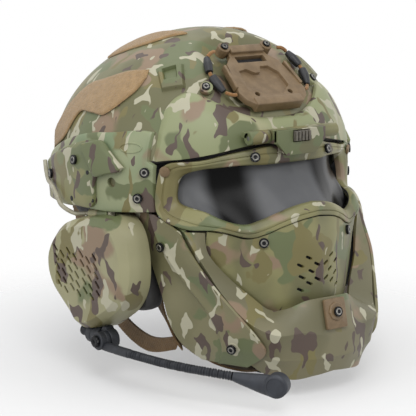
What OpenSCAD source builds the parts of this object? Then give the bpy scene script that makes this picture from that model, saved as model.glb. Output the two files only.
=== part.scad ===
// Full-face sport helmet: a high-cut shell with covers, a flip-up face mask on a brow
// hinge, ear cups with a boom microphone, and the liner and straps inside it.
// Millimetres. The face looks along -Y, +Z is up, and the origin is the middle of the
// head opening at the height of the brow. The wearer's right side is at -X.

/* [Shell] */
// Half of the width of the bare shell
shell_half_w = 123.5; // [118:0.5:128]
// Reach of the shell in front of its widest line
shell_front = 102.5; // [98:0.5:106]
// Reach of the shell behind its widest line
shell_rear = 150.5; // [144:0.5:156]
// Height of the crown above the brow
shell_h = 111.5; // [106:0.5:116]
// Wall of the shell
shell_wall = 4; // [3:0.5:6]
// Wall of the covers that lie on the shell
cover_wall = 3; // [2.5:0.25:4]
// Gap left between pieces that are stacked on each other
stack_gap = 0.5; // [0.4:0.05:0.7]

/* [Mask] */
// Wall of the frame round the lens
frame_wall = 5; // [4:0.5:6]
// Wall of the face plate, the chin guard and the cheek plates
mask_wall = 3; // [2.5:0.25:3.5]
// Thickness of the lens
lens_wall = 2.2; // [1.8:0.1:2.6]
// Height of the hinge line above the brow line
hinge_z = 33; // [32:0.25:34]
// Distance from the brow cover forwards to the hinge line
hinge_stand = 8.57; // [8:0.1:9.2]
// Radius of the hinge barrels
barrel_r = 5.4; // [5:0.1:5.8]
// Radius of the hinge pin
pin_r = 2; // [1.5:0.1:2.5]
// Running clearance between a pin and its bore
pin_clear = 0.05; // [0.02:0.01:0.08]
// Half of the width of the latch housing between the barrels
latch_half_w = 25; // [22:0.5:27]

/* [Ear cups] */
// Distance from the middle to the rim of an ear cup
cup_rim_x = 106; // [105:0.5:108]
// Depth of an ear cup from its rim to its face
cup_depth = 30; // [26:0.5:33]
// Wall of an ear cup
cup_wall = 2.8; // [2.4:0.1:3.2]
// Width of a grille slot
slot_w = 2; // [1.6:0.1:2.2]
// Length of a grille slot
slot_l = 7.5; // [6:0.25:8]

/* [Boom microphone] */
// Radius of the boom
boom_r = 3; // [2.6:0.1:3.2]
// Height of the ribs on the boom
rib_h = 0.5; // [0.3:0.05:0.6]
// Radius of the microphone's round end
pod_r = 9.5; // [8.5:0.25:10]

/* [Liner and straps] */
// Thickness of the liner pads
pad_t = 16; // [12:0.5:19]
// Thickness of the fleece side of the loop patches
loop_t = 1.8; // [1.2:0.1:2.4]
// Width of the chin strap's webbing
web_w = 18; // [16:0.5:22]
// Thickness of the webbing
web_t = 1.6; // [1.2:0.1:2]

/* [Hidden] */

khaki = [0.56, 0.52, 0.38];
green = [0.36, 0.44, 0.31];
olive = [0.46, 0.44, 0.28];
tan = [0.55, 0.41, 0.28];
loop_tan = [0.62, 0.46, 0.32];
black = [0.05, 0.05, 0.055];
dark_grey = [0.14, 0.15, 0.17];
web_brown = [0.36, 0.27, 0.18];
steel = [0.62, 0.62, 0.64];

right = -1;
left = 1;
shell_low = 260;
shell_y0 = -20;
plan_n = 2.05;
prof_m = 1.9;

// Helpers for curves and grids

function lerp(a, b, t) = a + (b - a) * t;
function spline(a, b, c, d, t) = 0.5 * (2 * b + (c - a) * t + (2 * a - 5 * b + 4 * c - d) * t * t
    + (3 * b - a - 3 * c + d) * t * t * t);
// Smooth open curve through points P with n steps a span
function curve(P, n) = [
    for (i = [0 : len(P) - 2], k = [0 : n - 1])
        spline(P[max(i - 1, 0)], P[i], P[i + 1], P[min(i + 2, len(P) - 1)], k / n),
    P[len(P) - 1]
];
// Smooth closed curve through points P with n steps a span
function loop_curve(P, n) = let (c = len(P)) [
    for (i = [0 : c - 1], k = [0 : n - 1])
        spline(P[(i + c - 1) % c], P[i], P[(i + 1) % c], P[(i + 2) % c], k / n)
];
// Grid that runs smoothly through the section curves S with n steps between two
function loft(S, n) = [
    for (i = [0 : len(S) - 2], k = [0 : n - 1]) [
        for (j = [0 : len(S[0]) - 1])
            spline(S[max(i - 1, 0)][j], S[i][j], S[i + 1][j], S[min(i + 2, len(S) - 1)][j], k / n)
    ],
    S[len(S) - 1]
];
// Grid of rows + 1 straight rows from curve A to curve B
function ruled(A, B, rows) = [for (i = [0 : rows]) [for (j = [0 : len(A) - 1]) lerp(A[j], B[j], i / rows)]];
function flip(P, s) = [for (p = P) [s * p.x, p.y, p.z]];
function flip_grid(g, s) = [for (row = g) flip(row, s)];
function reversed(P) = [for (i = [len(P) - 1 : -1 : 0]) P[i]];
function normal_at(g, i, j, wrap) = let (
    r = len(g) - 1, c = len(g[0]),
    jn = wrap ? (j + 1) % c : min(j + 1, c - 1), jp = wrap ? (j + c - 1) % c : max(j - 1, 0),
    n = cross(g[min(i + 1, r)][j] - g[max(i - 1, 0)][j], g[i][jn] - g[i][jp])
) n / max(norm(n), 1e-9);
// Grid g moved by t along its own normals
function offset_grid(g, t, wrap = false) = [
    for (i = [0 : len(g) - 1]) [for (j = [0 : len(g[0]) - 1]) g[i][j] + t * normal_at(g, i, j, wrap)]
];
function triangles(quads) = [for (q = quads) each [[q[0], q[1], q[2]], [q[0], q[2], q[3]]]];
function signed_volume(P, F, i = 0, s = 0) =
    i == len(F) ? s : signed_volume(P, F, i + 1, s + P[F[i][0]] * cross(P[F[i][1]], P[F[i][2]]));
// Polyhedron whose triangles are turned the right way round whatever side they were given from
module closed_mesh(P, F) {
    ok = signed_volume(P, F) < 0;
    polyhedron(P, ok ? F : [for (f = F) [f[0], f[2], f[1]]], convexity = 8);
}
// Solid between two grids of the same size
module between(A, B, wrap = false) {
    r = len(A);
    c = len(A[0]);
    o = r * c;
    cols = wrap ? c - 1 : c - 2;
    P = concat([for (row = A) each row], [for (row = B) each row]);
    faces = [for (i = [0 : r - 2], j = [0 : cols]) let (k = (j + 1) % c)
        [i * c + j, i * c + k, (i + 1) * c + k, (i + 1) * c + j]];
    backs = [for (q = faces) [o + q[3], o + q[2], o + q[1], o + q[0]]];
    ends = [for (j = [0 : cols]) let (k = (j + 1) % c, t = (r - 1) * c) each [
        [j, o + j, o + k, k], [t + j, t + k, o + t + k, o + t + j]]];
    sides = wrap ? [] : [for (i = [0 : r - 2]) let (a = i * c, b = (i + 1) * c, e = c - 1) each [
        [a, b, o + b, o + a], [a + e, o + a + e, o + b + e, b + e]]];
    closed_mesh(P, triangles(concat(faces, backs, ends, sides)));
}
// Sheet of thickness t on grid g
module sheet(g, t, wrap = false) { between(g, offset_grid(g, t, wrap), wrap); }
// Hollow bowl: rings A outside and B inside, closed over the last ring by a pole on each
module bowl(A, B, pole_a, pole_b) {
    r = len(A);
    c = len(A[0]);
    o = r * c;
    P = concat([for (row = A) each row], [for (row = B) each row], [pole_a, pole_b]);
    t = (r - 1) * c;
    F = [for (j = [0 : c - 1]) let (k = (j + 1) % c) each concat(
        triangles([for (i = [0 : r - 2]) [i * c + j, i * c + k, (i + 1) * c + k, (i + 1) * c + j]]),
        triangles([for (i = [0 : r - 2])
            [o + (i + 1) * c + j, o + (i + 1) * c + k, o + i * c + k, o + i * c + j]]),
        triangles([[j, o + j, o + k, k]]),
        [[t + j, t + k, 2 * o], [o + t + k, o + t + j, 2 * o + 1]])];
    closed_mesh(P, F);
}
// Solid through closed rings, with a pole at each end
module rings(A, pole_0, pole_1) {
    r = len(A);
    c = len(A[0]);
    P = concat([for (row = A) each row], [pole_0, pole_1]);
    t = (r - 1) * c;
    F = [for (j = [0 : c - 1]) let (k = (j + 1) % c) each concat(
        triangles([for (i = [0 : r - 2]) [i * c + j, i * c + k, (i + 1) * c + k, (i + 1) * c + j]]),
        [[k, j, r * c], [t + j, t + k, r * c + 1]])];
    closed_mesh(P, F);
}
function unit(v) = v / max(norm(v), 1e-9);
function centre(P, i = 0, s = [0, 0, 0]) = i == len(P) ? s / len(P) : centre(P, i + 1, s + P[i]);
// Rings of radius R[i] round the points of a route
function tube_rings(route, R, sides, ref = [0, 0, 1]) = [
    for (i = [0 : len(route) - 1]) let (
        d = unit(route[min(i + 1, len(route) - 1)] - route[max(i - 1, 0)]),
        u = unit(cross(d, ref)), v = cross(d, u), r = is_list(R) ? R[i] : R)
        [for (k = [0 : sides - 1]) route[i] + r * (cos(360 * k / sides) * u + sin(360 * k / sides) * v)]
];
module tube(route, R, sides, ref = [0, 0, 1]) {
    rings(tube_rings(route, R, sides, ref), route[0], route[len(route) - 1]);
}
// Button head screw with a hex socket, its head on the origin and looking along +Z
module cap_screw(r, head_h, shank_r, shank_l) {
    difference() {
        union() {
            cylinder(r = r, h = head_h, $fn = 32);
            translate([0, 0, -shank_l]) cylinder(r = shank_r, h = shank_l + 0.01, $fn = 24);
        }
        translate([0, 0, head_h * 0.35]) cylinder(r = r * 0.5, h = head_h, $fn = 6);
    }
}
// Turns +Z to the direction d
module aim(p, d) {
    translate(p) rotate([0, acos(unit(d).z), atan2(d.y, d.x)]) children();
}

// The dome that the shell and all its covers follow

function reach(y, off) = (y < shell_y0 ? shell_front : shell_rear) + off;
function rise(z, off) = (z > 0 ? shell_h : shell_low) + off;
function side_pt(p, off, s) = let (y = p.x, z = p.y)
    [s * (shell_half_w + off) * pow(max(0, pow(max(0, 1 - pow(abs(z) / rise(z, off), prof_m)), plan_n / prof_m)
        - pow(abs(y - shell_y0) / reach(y, off), plan_n)), 1 / plan_n), y, z];
function front_pt(p, off) = let (x = p.x, z = p.y)
    [x, shell_y0 - (shell_front + off) * pow(max(0, pow(max(0, 1 - pow(abs(z) / rise(z, off), prof_m)),
        plan_n / prof_m) - pow(abs(x) / (shell_half_w + off), plan_n)), 1 / plan_n), z];
function top_pt(p, off) = let (x = p.x, y = p.y)
    [x, y, (shell_h + off) * pow(max(0, 1 - pow(pow(abs(x) / (shell_half_w + off), plan_n)
        + pow(abs(y - shell_y0) / reach(y, off), plan_n), prof_m / plan_n)), 1 / prof_m)];
// Moves p out of or into the dome until it lies off above it
function on_dome(p, off) = let (
    c = [0, shell_y0, 0], W = shell_half_w + off, L = reach(p.y, off), H = rise(p.z, off),
    f = pow(pow(abs(p.x) / W, plan_n) + pow(abs(p.y - shell_y0) / L, plan_n), prof_m / plan_n)
        + pow(abs(p.z) / H, prof_m)
) c + (p - c) * pow(f, -1 / prof_m);
// Outward normal of the dome at p
function dome_normal(p) = let (q = pow(abs(p.x) / shell_half_w, plan_n)
    + pow(abs(p.y - shell_y0) / reach(p.y, 0), plan_n), k = pow(q, prof_m / plan_n - 1)) unit([
    sign(p.x) * k * pow(abs(p.x) / shell_half_w, plan_n - 1) / shell_half_w,
    sign(p.y - shell_y0) * k * pow(abs(p.y - shell_y0) / reach(p.y, 0), plan_n - 1) / reach(p.y, 0),
    sign(p.z) * pow(abs(p.z) / rise(p.z, 0), prof_m - 1) / rise(p.z, 0)]);
function spow(v, e) = sign(v) * pow(abs(v), e);
// Point of the dome at azimuth a from the front and slope angle e
function dome_pt(a, e, off) = let (ce = pow(cos(e), 2 / prof_m)) [
    (shell_half_w + off) * ce * spow(sin(a), 2 / plan_n),
    shell_y0 - (cos(a) > 0 ? shell_front + off : shell_rear + off) * ce * spow(cos(a), 2 / plan_n),
    (e > 0 ? shell_h + off : shell_low) * spow(sin(e), 2 / prof_m)
];
function slope_of(z) = sign(z) * asin(pow(abs(z) / (z > 0 ? shell_h : shell_low), prof_m / 2));
// Height of the shell's rim round the head, low behind the ears and at the nape
rim = [[0, 26], [35, 20], [55, 14], [68, -6], [78, -22], [100, -26], [118, -27], [135, -36],
    [150, -50], [165, -56], [180, -58]];
function rim_z(a) = lookup(a > 180 ? 360 - a : a, rim);
shell_cols = 48;
shell_rows = 11;
shell_top_e = 85;
function fade(v, a, b) = let (t = min(1, max(0, (v - a) / (b - a)))) t * t * (3 - 2 * t);
// Recess of the shell behind the shroud
recess = 9.5;
function dent(p) = recess * (1 - fade(abs(p.x), 26, 46)) * fade(p.z, 50, 66) * fade(-p.y, 44, 62);
function dented(p, q) = p - dent(q) * (q - [0, shell_y0, 0]) / norm(q - [0, shell_y0, 0]);
function dome_rings(off) = [for (i = [0 : shell_rows]) [for (j = [0 : shell_cols - 1]) let (
    a = 360 * j / shell_cols, e0 = slope_of(rim_z(a)), e = lerp(e0, shell_top_e, i / shell_rows))
    dented(dome_pt(a, e, off), dome_pt(a, e, 0))]];

// Raised lug on each side of the crown: its corners and a square recess in it
lug_rear = [[-74.6, -49.2, 80.7], [-81.2, -65.3, 65.8]];
lug_front = [[-56, -60.8, 86.9], [-66.1, -77.2, 68.6]];
lug_h = 2.4;
module shell_lug(s) {
    n = 7;
    g = flip_grid([for (i = [0 : n]) [for (j = [0 : n])
        lerp(lerp(lug_rear[0], lug_rear[1], i / n), lerp(lug_front[0], lug_front[1], i / n), j / n)]], -s);
    between([for (i = [0 : n]) [for (j = [0 : n])
        on_dome(g[i][j], i > 0 && i < 4 && j > 1 && j < 5 ? 0.4 : lug_h)]],
        [for (row = g) [for (p = row) on_dome(p, -shell_wall / 2)]]);
}
module shell() {
    color(khaki) {
        bowl(dome_rings(0), dome_rings(-shell_wall), [0, shell_y0, shell_h], [0, shell_y0, shell_h - shell_wall]);
        shell_lug(right);
        shell_lug(left);
    }
}

// Panel between the edges A and B, which are points (y, z) seen from the side
module side_panel(A, B, rows, low, high, s) { side_rows(ruled(A, B, rows), low, high, s); }
cover_low = stack_gap;
cover_high = stack_gap + cover_wall;

// Brow cover: wraps the front of the shell from one temple to the other
// Its edges as points (x, z), with x as a share of the shell's half width
brow_top = [[-0.761, 36], [-0.696, 52], [-0.615, 62], [-0.534, 66], [-0.461, 62], [-0.356, 54], [-0.194, 46.5], [0, 45]];
brow_low = [[-0.818, 14], [-0.769, 15], [-0.696, 16], [-0.607, 18], [-0.453, 22], [-0.324, 25], [-0.194, 27.5], [0, 27.5]];
function brow_edge(P) = mirrored_edge(curve([for (p = P) [p.x * shell_half_w, p.y]], 2));
function mirrored_edge(P) = concat(P, [for (i = [len(P) - 2 : -1 : 0]) [-P[i].x, P[i].y]]);
function brow_swell(i, x) = [1, 2.2, 3, 3.4, 3.6, 3.6, 3.4][i] * (1 - 0.85 * fade(abs(x), 55, 95));
module brow_cover() {
    g = ruled(brow_edge(brow_top), brow_edge(brow_low), 6);
    color(green) between(
        [for (i = [0 : 6]) [for (p = g[i]) front_pt(p, cover_high + brow_swell(i, p.x))]],
        [for (i = [0 : 6]) [for (p = g[i]) front_pt(p, cover_low)]]);
}

// Side cover over the temple and the rail cap that lies on its rear half
side_top = [[-76, 36], [-66, 37], [-44, 34], [-17, 31], [16, 22], [44, 11], [66, 0]];
side_step = [[-78, 13.5], [-66, 14], [-44, 12], [-17, 9], [16, 2], [44, -6], [66, -13]];
side_wide = [[-82.5, 10.5], [-68, 10.5], [-44, 9], [-17, 6], [16, -1], [44, -9], [66, -15]];
side_low = [[-82.5, -26], [-74, -26.5], [-52, -26.5], [-17, -29.5], [16, -33], [44, -35], [62, -36]];
// Panel through the rows g of points (y, z) seen from the side
module side_rows(g, low, high, s) {
    between([for (row = g) [for (p = row) side_pt(p, high, s)]], [for (row = g) [for (p = row) side_pt(p, low, s)]]);
}
// Round opening of the rail in front of its cap, as (y, z, radius)
rail_hole = [-51.5, -5, 4];
module side_cover(s) {
    p = side_pt(rail_hole, cover_high, s);
    difference() {
        side_rows(concat(ruled(curve(side_top, 2), curve(side_step, 2), 2),
            ruled(curve(side_wide, 2), curve(side_low, 2), 3)), cover_low, cover_high, s);
        aim(p - 6 * dome_normal(p), dome_normal(p)) cylinder(r = rail_hole.z, h = 12, $fn = 32);
    }
}
module side_cover_r() { color(green) side_cover(right); }
module side_cover_l() { color(green) side_cover(left); }
cap_top = [[-63, 8], [-52, 17], [-39, 26], [-28, 27], [-10, 23], [20, 13], [58, -2]];
cap_low = [[-61, 5.5], [-48, 1], [-37, -3], [-33, -26], [-10, -29], [20, -31], [54, -33]];
cap_low_off = cover_high + stack_gap;
cap_high_off = cap_low_off + 3.4;
module rail_cap(s) { side_panel(curve(cap_top, 2), curve(cap_low, 2), 3, cap_low_off, cap_high_off, s); }
module rail_cap_r() { color(olive) rail_cap(right); }
module rail_cap_l() { color(olive) rail_cap(left); }

// Points (y, z, height above the dome) of the screws in the side covers
side_screw_at = [[-78, 5, cover_high], [-73, -16, cover_high], [-11, 9, cap_high_off],
    [38, -9.5, cap_high_off]];
screw_r = 4;
module side_screws() {
    color(black) for (s = [right, left], q = side_screw_at) {
        p = side_pt(q, q.z, s);
        n = dome_normal(p);
        aim(p + 0.45 * n, n) cap_screw(screw_r, 1.8, 1.6, 0.01);
    }
}

// Loop patches
module top_patch(A, B, s) {
    g = flip_grid(ruled([for (p = curve(A, 2)) [p.x, p.y, 0]], [for (p = curve(B, 2)) [p.x, p.y, 0]], 3), s);
    color(loop_tan) between([for (row = g) [for (p = row) top_pt(p, stack_gap + loop_t)]],
        [for (row = g) [for (p = row) top_pt(p, stack_gap)]]);
}
loop_top_in = [[30, -30], [30, 0], [32, 30], [34, 52]];
loop_top_out = [[38, -22], [54, -6], [62, 18], [62, 42]];
module loop_top_r() { top_patch(loop_top_in, loop_top_out, right); }
module loop_top_l() { top_patch(loop_top_in, loop_top_out, left); }
loop_side_hi = [[-42, 82], [-24, 80], [2, 72], [22, 66], [40, 52], [56, 34], [66, 22]];
loop_side_lo = [[-46, 76], [-45, 64], [-28, 47], [-8, 46], [12, 44], [28, 22], [52, 10]];
module loop_side(s) {
    color(loop_tan) side_panel(curve(loop_side_hi, 2), curve(loop_side_lo, 2), 3, stack_gap,
        stack_gap + loop_t, s);
}
module loop_side_r() { loop_side(right); }
module loop_side_l() { loop_side(left); }
function rear_pt(p, off) = on_dome([p.x, 130, p.y], off);
module loop_rear() {
    hi = [for (x = [-52 : 13 : 52]) [x, 74 - x * x / 260]];
    lo = [for (x = [-52 : 13 : 52]) [x, 34 - x * x / 400]];
    g = ruled(hi, lo, 3);
    color(loop_tan) between([for (row = g) [for (p = row) rear_pt(p, stack_gap + loop_t)]],
        [for (row = g) [for (p = row) rear_pt(p, stack_gap)]]);
}

// Accessory shroud in the recess of the brow, drawn flat and then leaned back
shroud_at = on_dome([0, -115.9, 57.5], 8.77);
shroud_peak = on_dome([0, -66.2, 97.8], -0.05);
shroud_lean = atan2(shroud_peak.y - shroud_at.y, shroud_peak.z - shroud_at.z);
shroud_t = 5.5;
bolt_r = 2.25;
module on_brow() { translate(shroud_at) rotate([90 - shroud_lean, 0, 0]) children(); }
function brow_place(p) = shroud_at + [p.x, p.y * sin(shroud_lean) - p.z * cos(shroud_lean),
    p.y * cos(shroud_lean) + p.z * sin(shroud_lean)];
shroud_edge = [[-24, -1], [24, -1], [31, 5], [34, 13], [32, 24], [27, 46], [20, 53], [17, 64], [-17, 64],
    [-20, 53], [-27, 46], [-32, 24], [-34, 13], [-31, 5]];
base_gap = 2.5;
module shroud_base() {
    xs = [-27 : 5.4 : 27];
    ys = [9, 18, 27, 36, 45, 54, 61];
    tops = [for (y = ys) [for (x = xs) let (k = 1 - max(0, abs(y - 22) - 10) / 50)
        brow_place([x * k, y, -shroud_t - 0.4])]];
    color(green) {
        between(tops, [for (row = tops) [for (p = row) let (q = on_dome(p, base_gap)) dented(q, on_dome(p, 0))]]);
        for (s = [right, left]) {
            q = on_dome([s * 53, -86.5, 67.5], 0.8);
            aim(q, dome_normal(q)) cylinder(r = 5.2, h = 4.4, $fn = 32);
        }
    }
}
module shroud() {
    color(tan) on_brow() difference() {
        union() {
            translate([0, 0, -shroud_t]) linear_extrude(shroud_t) polygon(shroud_edge);
            translate([-24, -2, -8.5]) cube([48, 8.5, 9.7]);
            translate([-17, 56, -shroud_t]) cube([34, 8, shroud_t + 3]);
            for (s = [-1, 1]) {
                translate([s * 22, 62, -shroud_t]) cylinder(r = 5.2, h = shroud_t + 3.2, $fn = 32);
                translate([s * 32.2, 31, -1.5]) rotate(s * 5) cube([2.6, 26, 6], center = true);
            }
        }
        translate([0, 0, -3.5]) linear_extrude(shroud_t + 4) polygon([[-9, 9], [9, 9], [20, 18], [19, 33], [12, 41],
            [4, 41], [0, 34], [-5, 34], [-12, 39], [-20, 37], [-22, 20]]);
        translate([-15, 46.5, -shroud_t - 3]) cube([30, 7, shroud_t + 9]);
        for (x = [-17, 17]) translate([x, 10.5, -12]) cylinder(r = bolt_r, h = 20, $fn = 32);
    }
}
module shroud_screws() {
    color(dark_grey) on_brow() {
        for (x = [-22, 22]) translate([x, 62, 3.5]) cap_screw(3.2, 1.2, 1.5, 0.01);
    }
    color(dark_grey) for (s = [right, left]) {
        q = on_dome([s * 53, -86.5, 67.5], 5.3);
        aim(q, dome_normal(q)) cap_screw(3.4, 1.4, 1.5, 0.01);
    }
}
clip_hi = [[40, -70, 87], [42.5, -75, 83], [45, -80, 77.5]];
clip_lo = [[44.8, -83.5, 74], [43.8, -88.5, 69.5], [41.5, -94, 63.5]];
function lifted(P, h) = [for (p = P) on_dome(p, h)];
clip_lift = 4.4;
module bungee_clips() {
    color(black) for (s = [right, left]) {
        tube(flip(lifted(clip_hi, clip_lift), -s), [2.4, 3.8, 3.2], 8);
        tube(flip(lifted(clip_lo, clip_lift), -s), [3.6, 3.9, 2.4], 8);
    }
}
module bungee_cords() {
    color(tan) for (s = [right, left]) {
        tube(flip(lifted([[45, -80.6, 76.9], [44.85, -82.9, 74.6]], clip_lift), -s), 1.6, 8);
        tube(flip([[42.6, -98.6, 65.9], [39, -102.6, 64.3], [35.3, -103.6, 64]], -s), 1.5, 8);
        tube(flip([[41.2, -72.4, 92.6], [37, -72, 95.4], [32.8, -70.5, 96]], -s), 1.5, 8);
    }
}

// Liner pads: crowned cushions that hang under the shell with drawn-in sides
liner_gap = 1;
module liner_pad(A, B, place) {
    cols = len(A) - 1;
    rows = 5;
    g = ruled(A, B, rows);
    function crown(i, j) = let (u = sin(180 * i / rows), v = sin(180 * j / cols))
        pad_t * (0.5 + 0.5 * pow(max(0, u * v), 0.35));
    outer = [for (row = g) [for (p = row) on_dome(place(p), -shell_wall - liner_gap)]];
    inner = [for (i = [0 : rows]) [for (j = [0 : cols]) on_dome(place(g[i][j]),
        -shell_wall - liner_gap - crown(i, j))]];
    between(outer, inner);
}
front_place = function (p) [p.x, shell_y0 - 90, p.y];
side_place_r = function (p) [-110, p.x, p.y];
side_place_l = function (p) [110, p.x, p.y];
rear_place = function (p) [p.x, 120, p.y];
top_place = function (p) [p.x, p.y, 105];
module pad_front() {
    color(black) liner_pad([for (x = [-60 : 12 : 60]) [x, 49]], [for (x = [-66 : 13.2 : 66]) [x, 24]], front_place);
}
module pad_rear() {
    color(black) liner_pad([for (x = [-60 : 12 : 60]) [x, 44]], [for (x = [-60 : 12 : 60]) [x, -4]], rear_place);
}
module pad_crown() {
    color(black) liner_pad([for (x = [-50 : 10 : 50]) [x, -42]], [for (x = [-50 : 10 : 50]) [x, 56]], top_place);
}
pad_side_hi = [for (y = [-54 : 12 : 66]) [y, 58]];
pad_side_lo = [for (y = [-54 : 12 : 66]) [y, 16]];
module pad_side_r() { color(black) liner_pad(pad_side_hi, pad_side_lo, side_place_r); }
module pad_side_l() { color(black) liner_pad(pad_side_hi, pad_side_lo, side_place_l); }

// Fit band round the back of the head, with its dial
band_h = 22;
band_t = 2.4;
band_z = -24;
band_half_w = 88;
band_half_l = 96;
band_y = 4;
function band_pt(a, z, t = 0) = [(band_half_w - t) * sin(a), band_y - (band_half_l - t) * cos(a), z];
module fit_band() {
    angles = [for (i = [0 : 20]) 84 + 96 * i / 20 * 2];
    color(dark_grey) {
        band_tabs();
        band_ring(angles);
    }
}
module band_ring(angles) {
    between(
        [for (z = [band_z - band_h / 2, band_z + band_h / 2]) [for (a = angles) band_pt(a, z)]],
        [for (z = [band_z - band_h / 2, band_z + band_h / 2]) [for (a = angles) band_pt(a, z, band_t)]]);
}
tab_in = band_half_w - 1.5;
tab_out = shell_half_w - shell_wall - 1.7;
band_tab = [[tab_in, -5, -30], [lerp(tab_in, tab_out, 0.367), -6.5, -29], [lerp(tab_in, tab_out, 0.751), -8, -23],
    [tab_out, -9, -15]];
module band_tabs() {
    low = curve(band_tab, 2);
    for (s = [right, left]) sheet(flip_grid([low, [for (p = low) p + [0, 0, 9]]], s), s * band_t);
}
nape_pad_h = 34;
module nape_pad() {
    rows = 5;
    cols = 10;
    color(black) between(
        [for (i = [0 : rows]) [for (j = [0 : cols])
            band_pt(150 + 60 * j / cols, band_z + nape_pad_h * (i / rows - 0.5), band_t + 1)]],
        [for (i = [0 : rows]) [for (j = [0 : cols]) let (
            t = 5 + 6 * pow(max(0, sin(180 * i / rows) * sin(180 * j / cols)), 0.4))
            band_pt(150 + 60 * j / cols, band_z + nape_pad_h * (i / rows - 0.5), band_t + 1 + t)]]);
}
dial_y = band_y + band_half_l + 0.8;
dial_spindle_r = 3;
module dial_housing() {
    color(dark_grey) translate([0, dial_y, band_z]) rotate([-90, 0, 0]) {
        linear_extrude(6) hull() for (x = [-17, 17]) translate([x, 0]) circle(r = 13, $fn = 32);
        translate([0, 0, 6]) cylinder(r = dial_spindle_r, h = 8, $fn = 32);
    }
}
dial_r = 13;
module fit_dial() {
    color(black) translate([0, dial_y + 6.4, band_z]) rotate([-90, 0, 0]) difference() {
        union() {
            cylinder(r = dial_r, h = 9, $fn = 48);
            for (k = [0 : 17]) rotate(20 * k) translate([dial_r - 0.2, 0, 0]) cylinder(r = 1.2, h = 8, $fn = 16);
        }
        translate([0, 0, -0.1]) cylinder(r = dial_spindle_r + pin_clear, h = 8, $fn = 32);
    }
}

// Chin strap: webbing from the shell behind and before the ear to a junction, and under the chin
function web_grid(route, wide) = [for (k = [-1, 1]) [for (i = [0 : len(route) - 1])
    route[i] + k * web_w / 2 * unit(wide[i])]];
strap_front = [side_pt([-35.5, -2], -7.6, right), side_pt([-36.5, -12], -7.73, right), [-106.5, -38, -23],
    [-95.5, -42, -38], [-85, -54, -58], [-83, -58, -82], [-80, -65, -110], [-76, -73, -130], [-73, -78, -139]];
strap_rear = [side_pt([40, -12], -9, right), side_pt([40, -24], -9.23, right), [-97, 38.5, -44],
    [-91, 25, -88], [-87, -4, -128], [-81, -42, -147], [-73, -75, -141]];
strap_chin = [[-71, -80, -141], [-54, -88, -156], [-30, -93, -166], [-12.5, -95, -169]];
module strap(P, wide, s) {
    route = curve(P, 3);
    across = curve(wide, 3);
    g = flip_grid(web_grid(route, across), -s);
    sheet(g, -web_t * s);
}
wide_front = [[-0.2, 1, 0], [-0.2, 1, 0], [0, 1, 0], [0, 1, 0.1], [0, 1, 0.2], [0.1, 1, 0.2], [0.2, 1, 0.3], [0.3, 0.9, 0.5],
    [0.4, 0.8, 0.6]];
wide_rear = [[0.25, 1, 0], [0.25, 1, -0.1], [0.2, 0.95, -0.3], [0.1, 0.9, -0.5], [0.1, 0.8, -0.6], [0.1, 0.6, -0.8],
    [0.1, 0.6, -0.8]];
module chin_strap(s) {
    color(web_brown) {
        strap(strap_front, wide_front, s);
        strap(strap_rear, wide_rear, s);
        strap(strap_chin, [for (p = strap_chin) [0, 1, 0.05]], s);
    }
}
module chin_strap_r() { chin_strap(right); }
module chin_strap_l() { chin_strap(left); }
module strap_buckle() {
    color(black) translate([0, -95, -170.5]) linear_extrude(6) hull()
        for (x = [-8.6, 8.6], y = [-9, 9]) translate([x, y]) circle(r = 3.5, $fn = 32);
}

// Hinge on the brow: two barrels on a plate that is screwed to the brow cover
barrel_l = 20;
barrel_gap = 0.4;
barrel_in = latch_half_w + barrel_gap;
brow_front = front_pt([barrel_in, hinge_z], cover_high + brow_swell(4, barrel_in)).y;
hinge_at = [0, brow_front - hinge_stand, hinge_z];
module along_x(x0, x1, r, n = 48) { translate([x0, 0, 0]) rotate([0, 90, 0]) cylinder(r = r, h = x1 - x0, $fn = n); }
bracket_foot = 4.6;
foot_gap = 0.57;
module hinge_bracket() {
    color(olive) for (s = [right, left]) difference() {
        translate(hinge_at) union() {
            along_x(s > 0 ? barrel_in : -barrel_in - barrel_l, s > 0 ? barrel_in + barrel_l : -barrel_in, barrel_r);
            translate([s > 0 ? barrel_in : -barrel_in - barrel_l, 0, -bracket_foot / 2 + 2])
                cube([barrel_l, hinge_stand - foot_gap, bracket_foot]);
        }
        translate(hinge_at) along_x(-80, 80, pin_r + pin_clear);
    }
}
module hinge_pin() {
    color(steel) translate(hinge_at) along_x(-barrel_in - barrel_l + 0.5, barrel_in + barrel_l - 0.5, pin_r);
}

// Mask frame: a moulded ring round the lens opening, drawn for the right side and mirrored
open_half = [[0, -136, 11], [-28, -132, 10.5], [-44, -125, 10.5], [-60, -115.5, 9], [-73, -105, 7],
    [-83, -95, 2], [-87, -93, -8], [-87, -96, -20], [-78, -119, -25], [-68, -131, -31],
    [-54, -139.5, -34.5], [-43, -146.5, -31], [-32, -152.5, -26], [-17, -158.5, -20.5], [0, -161, -18]];
rim_half = [[0, -137, 25], [-28, -132, 24.5], [-43, -125, 21.5], [-58, -117, 18.5], [-75, -107.5, 14.5],
    [-92, -92, 10.5], [-97.5, -84.5, -2], [-97.5, -84.5, -28], [-91, -108, -38], [-75, -130, -38],
    [-54, -143, -44], [-42, -151, -41], [-32, -157, -36], [-17, -163.5, -30.5], [0, -166, -28]];
// Closed loop from a half outline that starts and ends on the middle plane
function whole(P) = concat(P, [for (i = [len(P) - 2 : -1 : 1]) [-P[i].x, P[i].y, P[i].z]]);
function inwards(P, back, k = 1) = [for (p = P) p + back * unit([-k * p.x * 0.6, 40 + 0.55 * (-92 - p.y), 0])];
module mask_frame() {
    inner = whole(curve(open_half, 2));
    outer = whole(curve(rim_half, 2));
    mid = [for (i = [0 : len(inner) - 1]) lerp(inner[i], outer[i], 0.45) + unit([inner[i].x * 0.7, inner[i].y, 0]) * 1.6];
    A = [inner, mid, outer];
    B = [for (row = A) inwards(row, frame_wall)];
    color(olive) between(A, B, wrap = true);
}
lens_edge = 3;
lens_back = frame_wall + 3.9;
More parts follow.
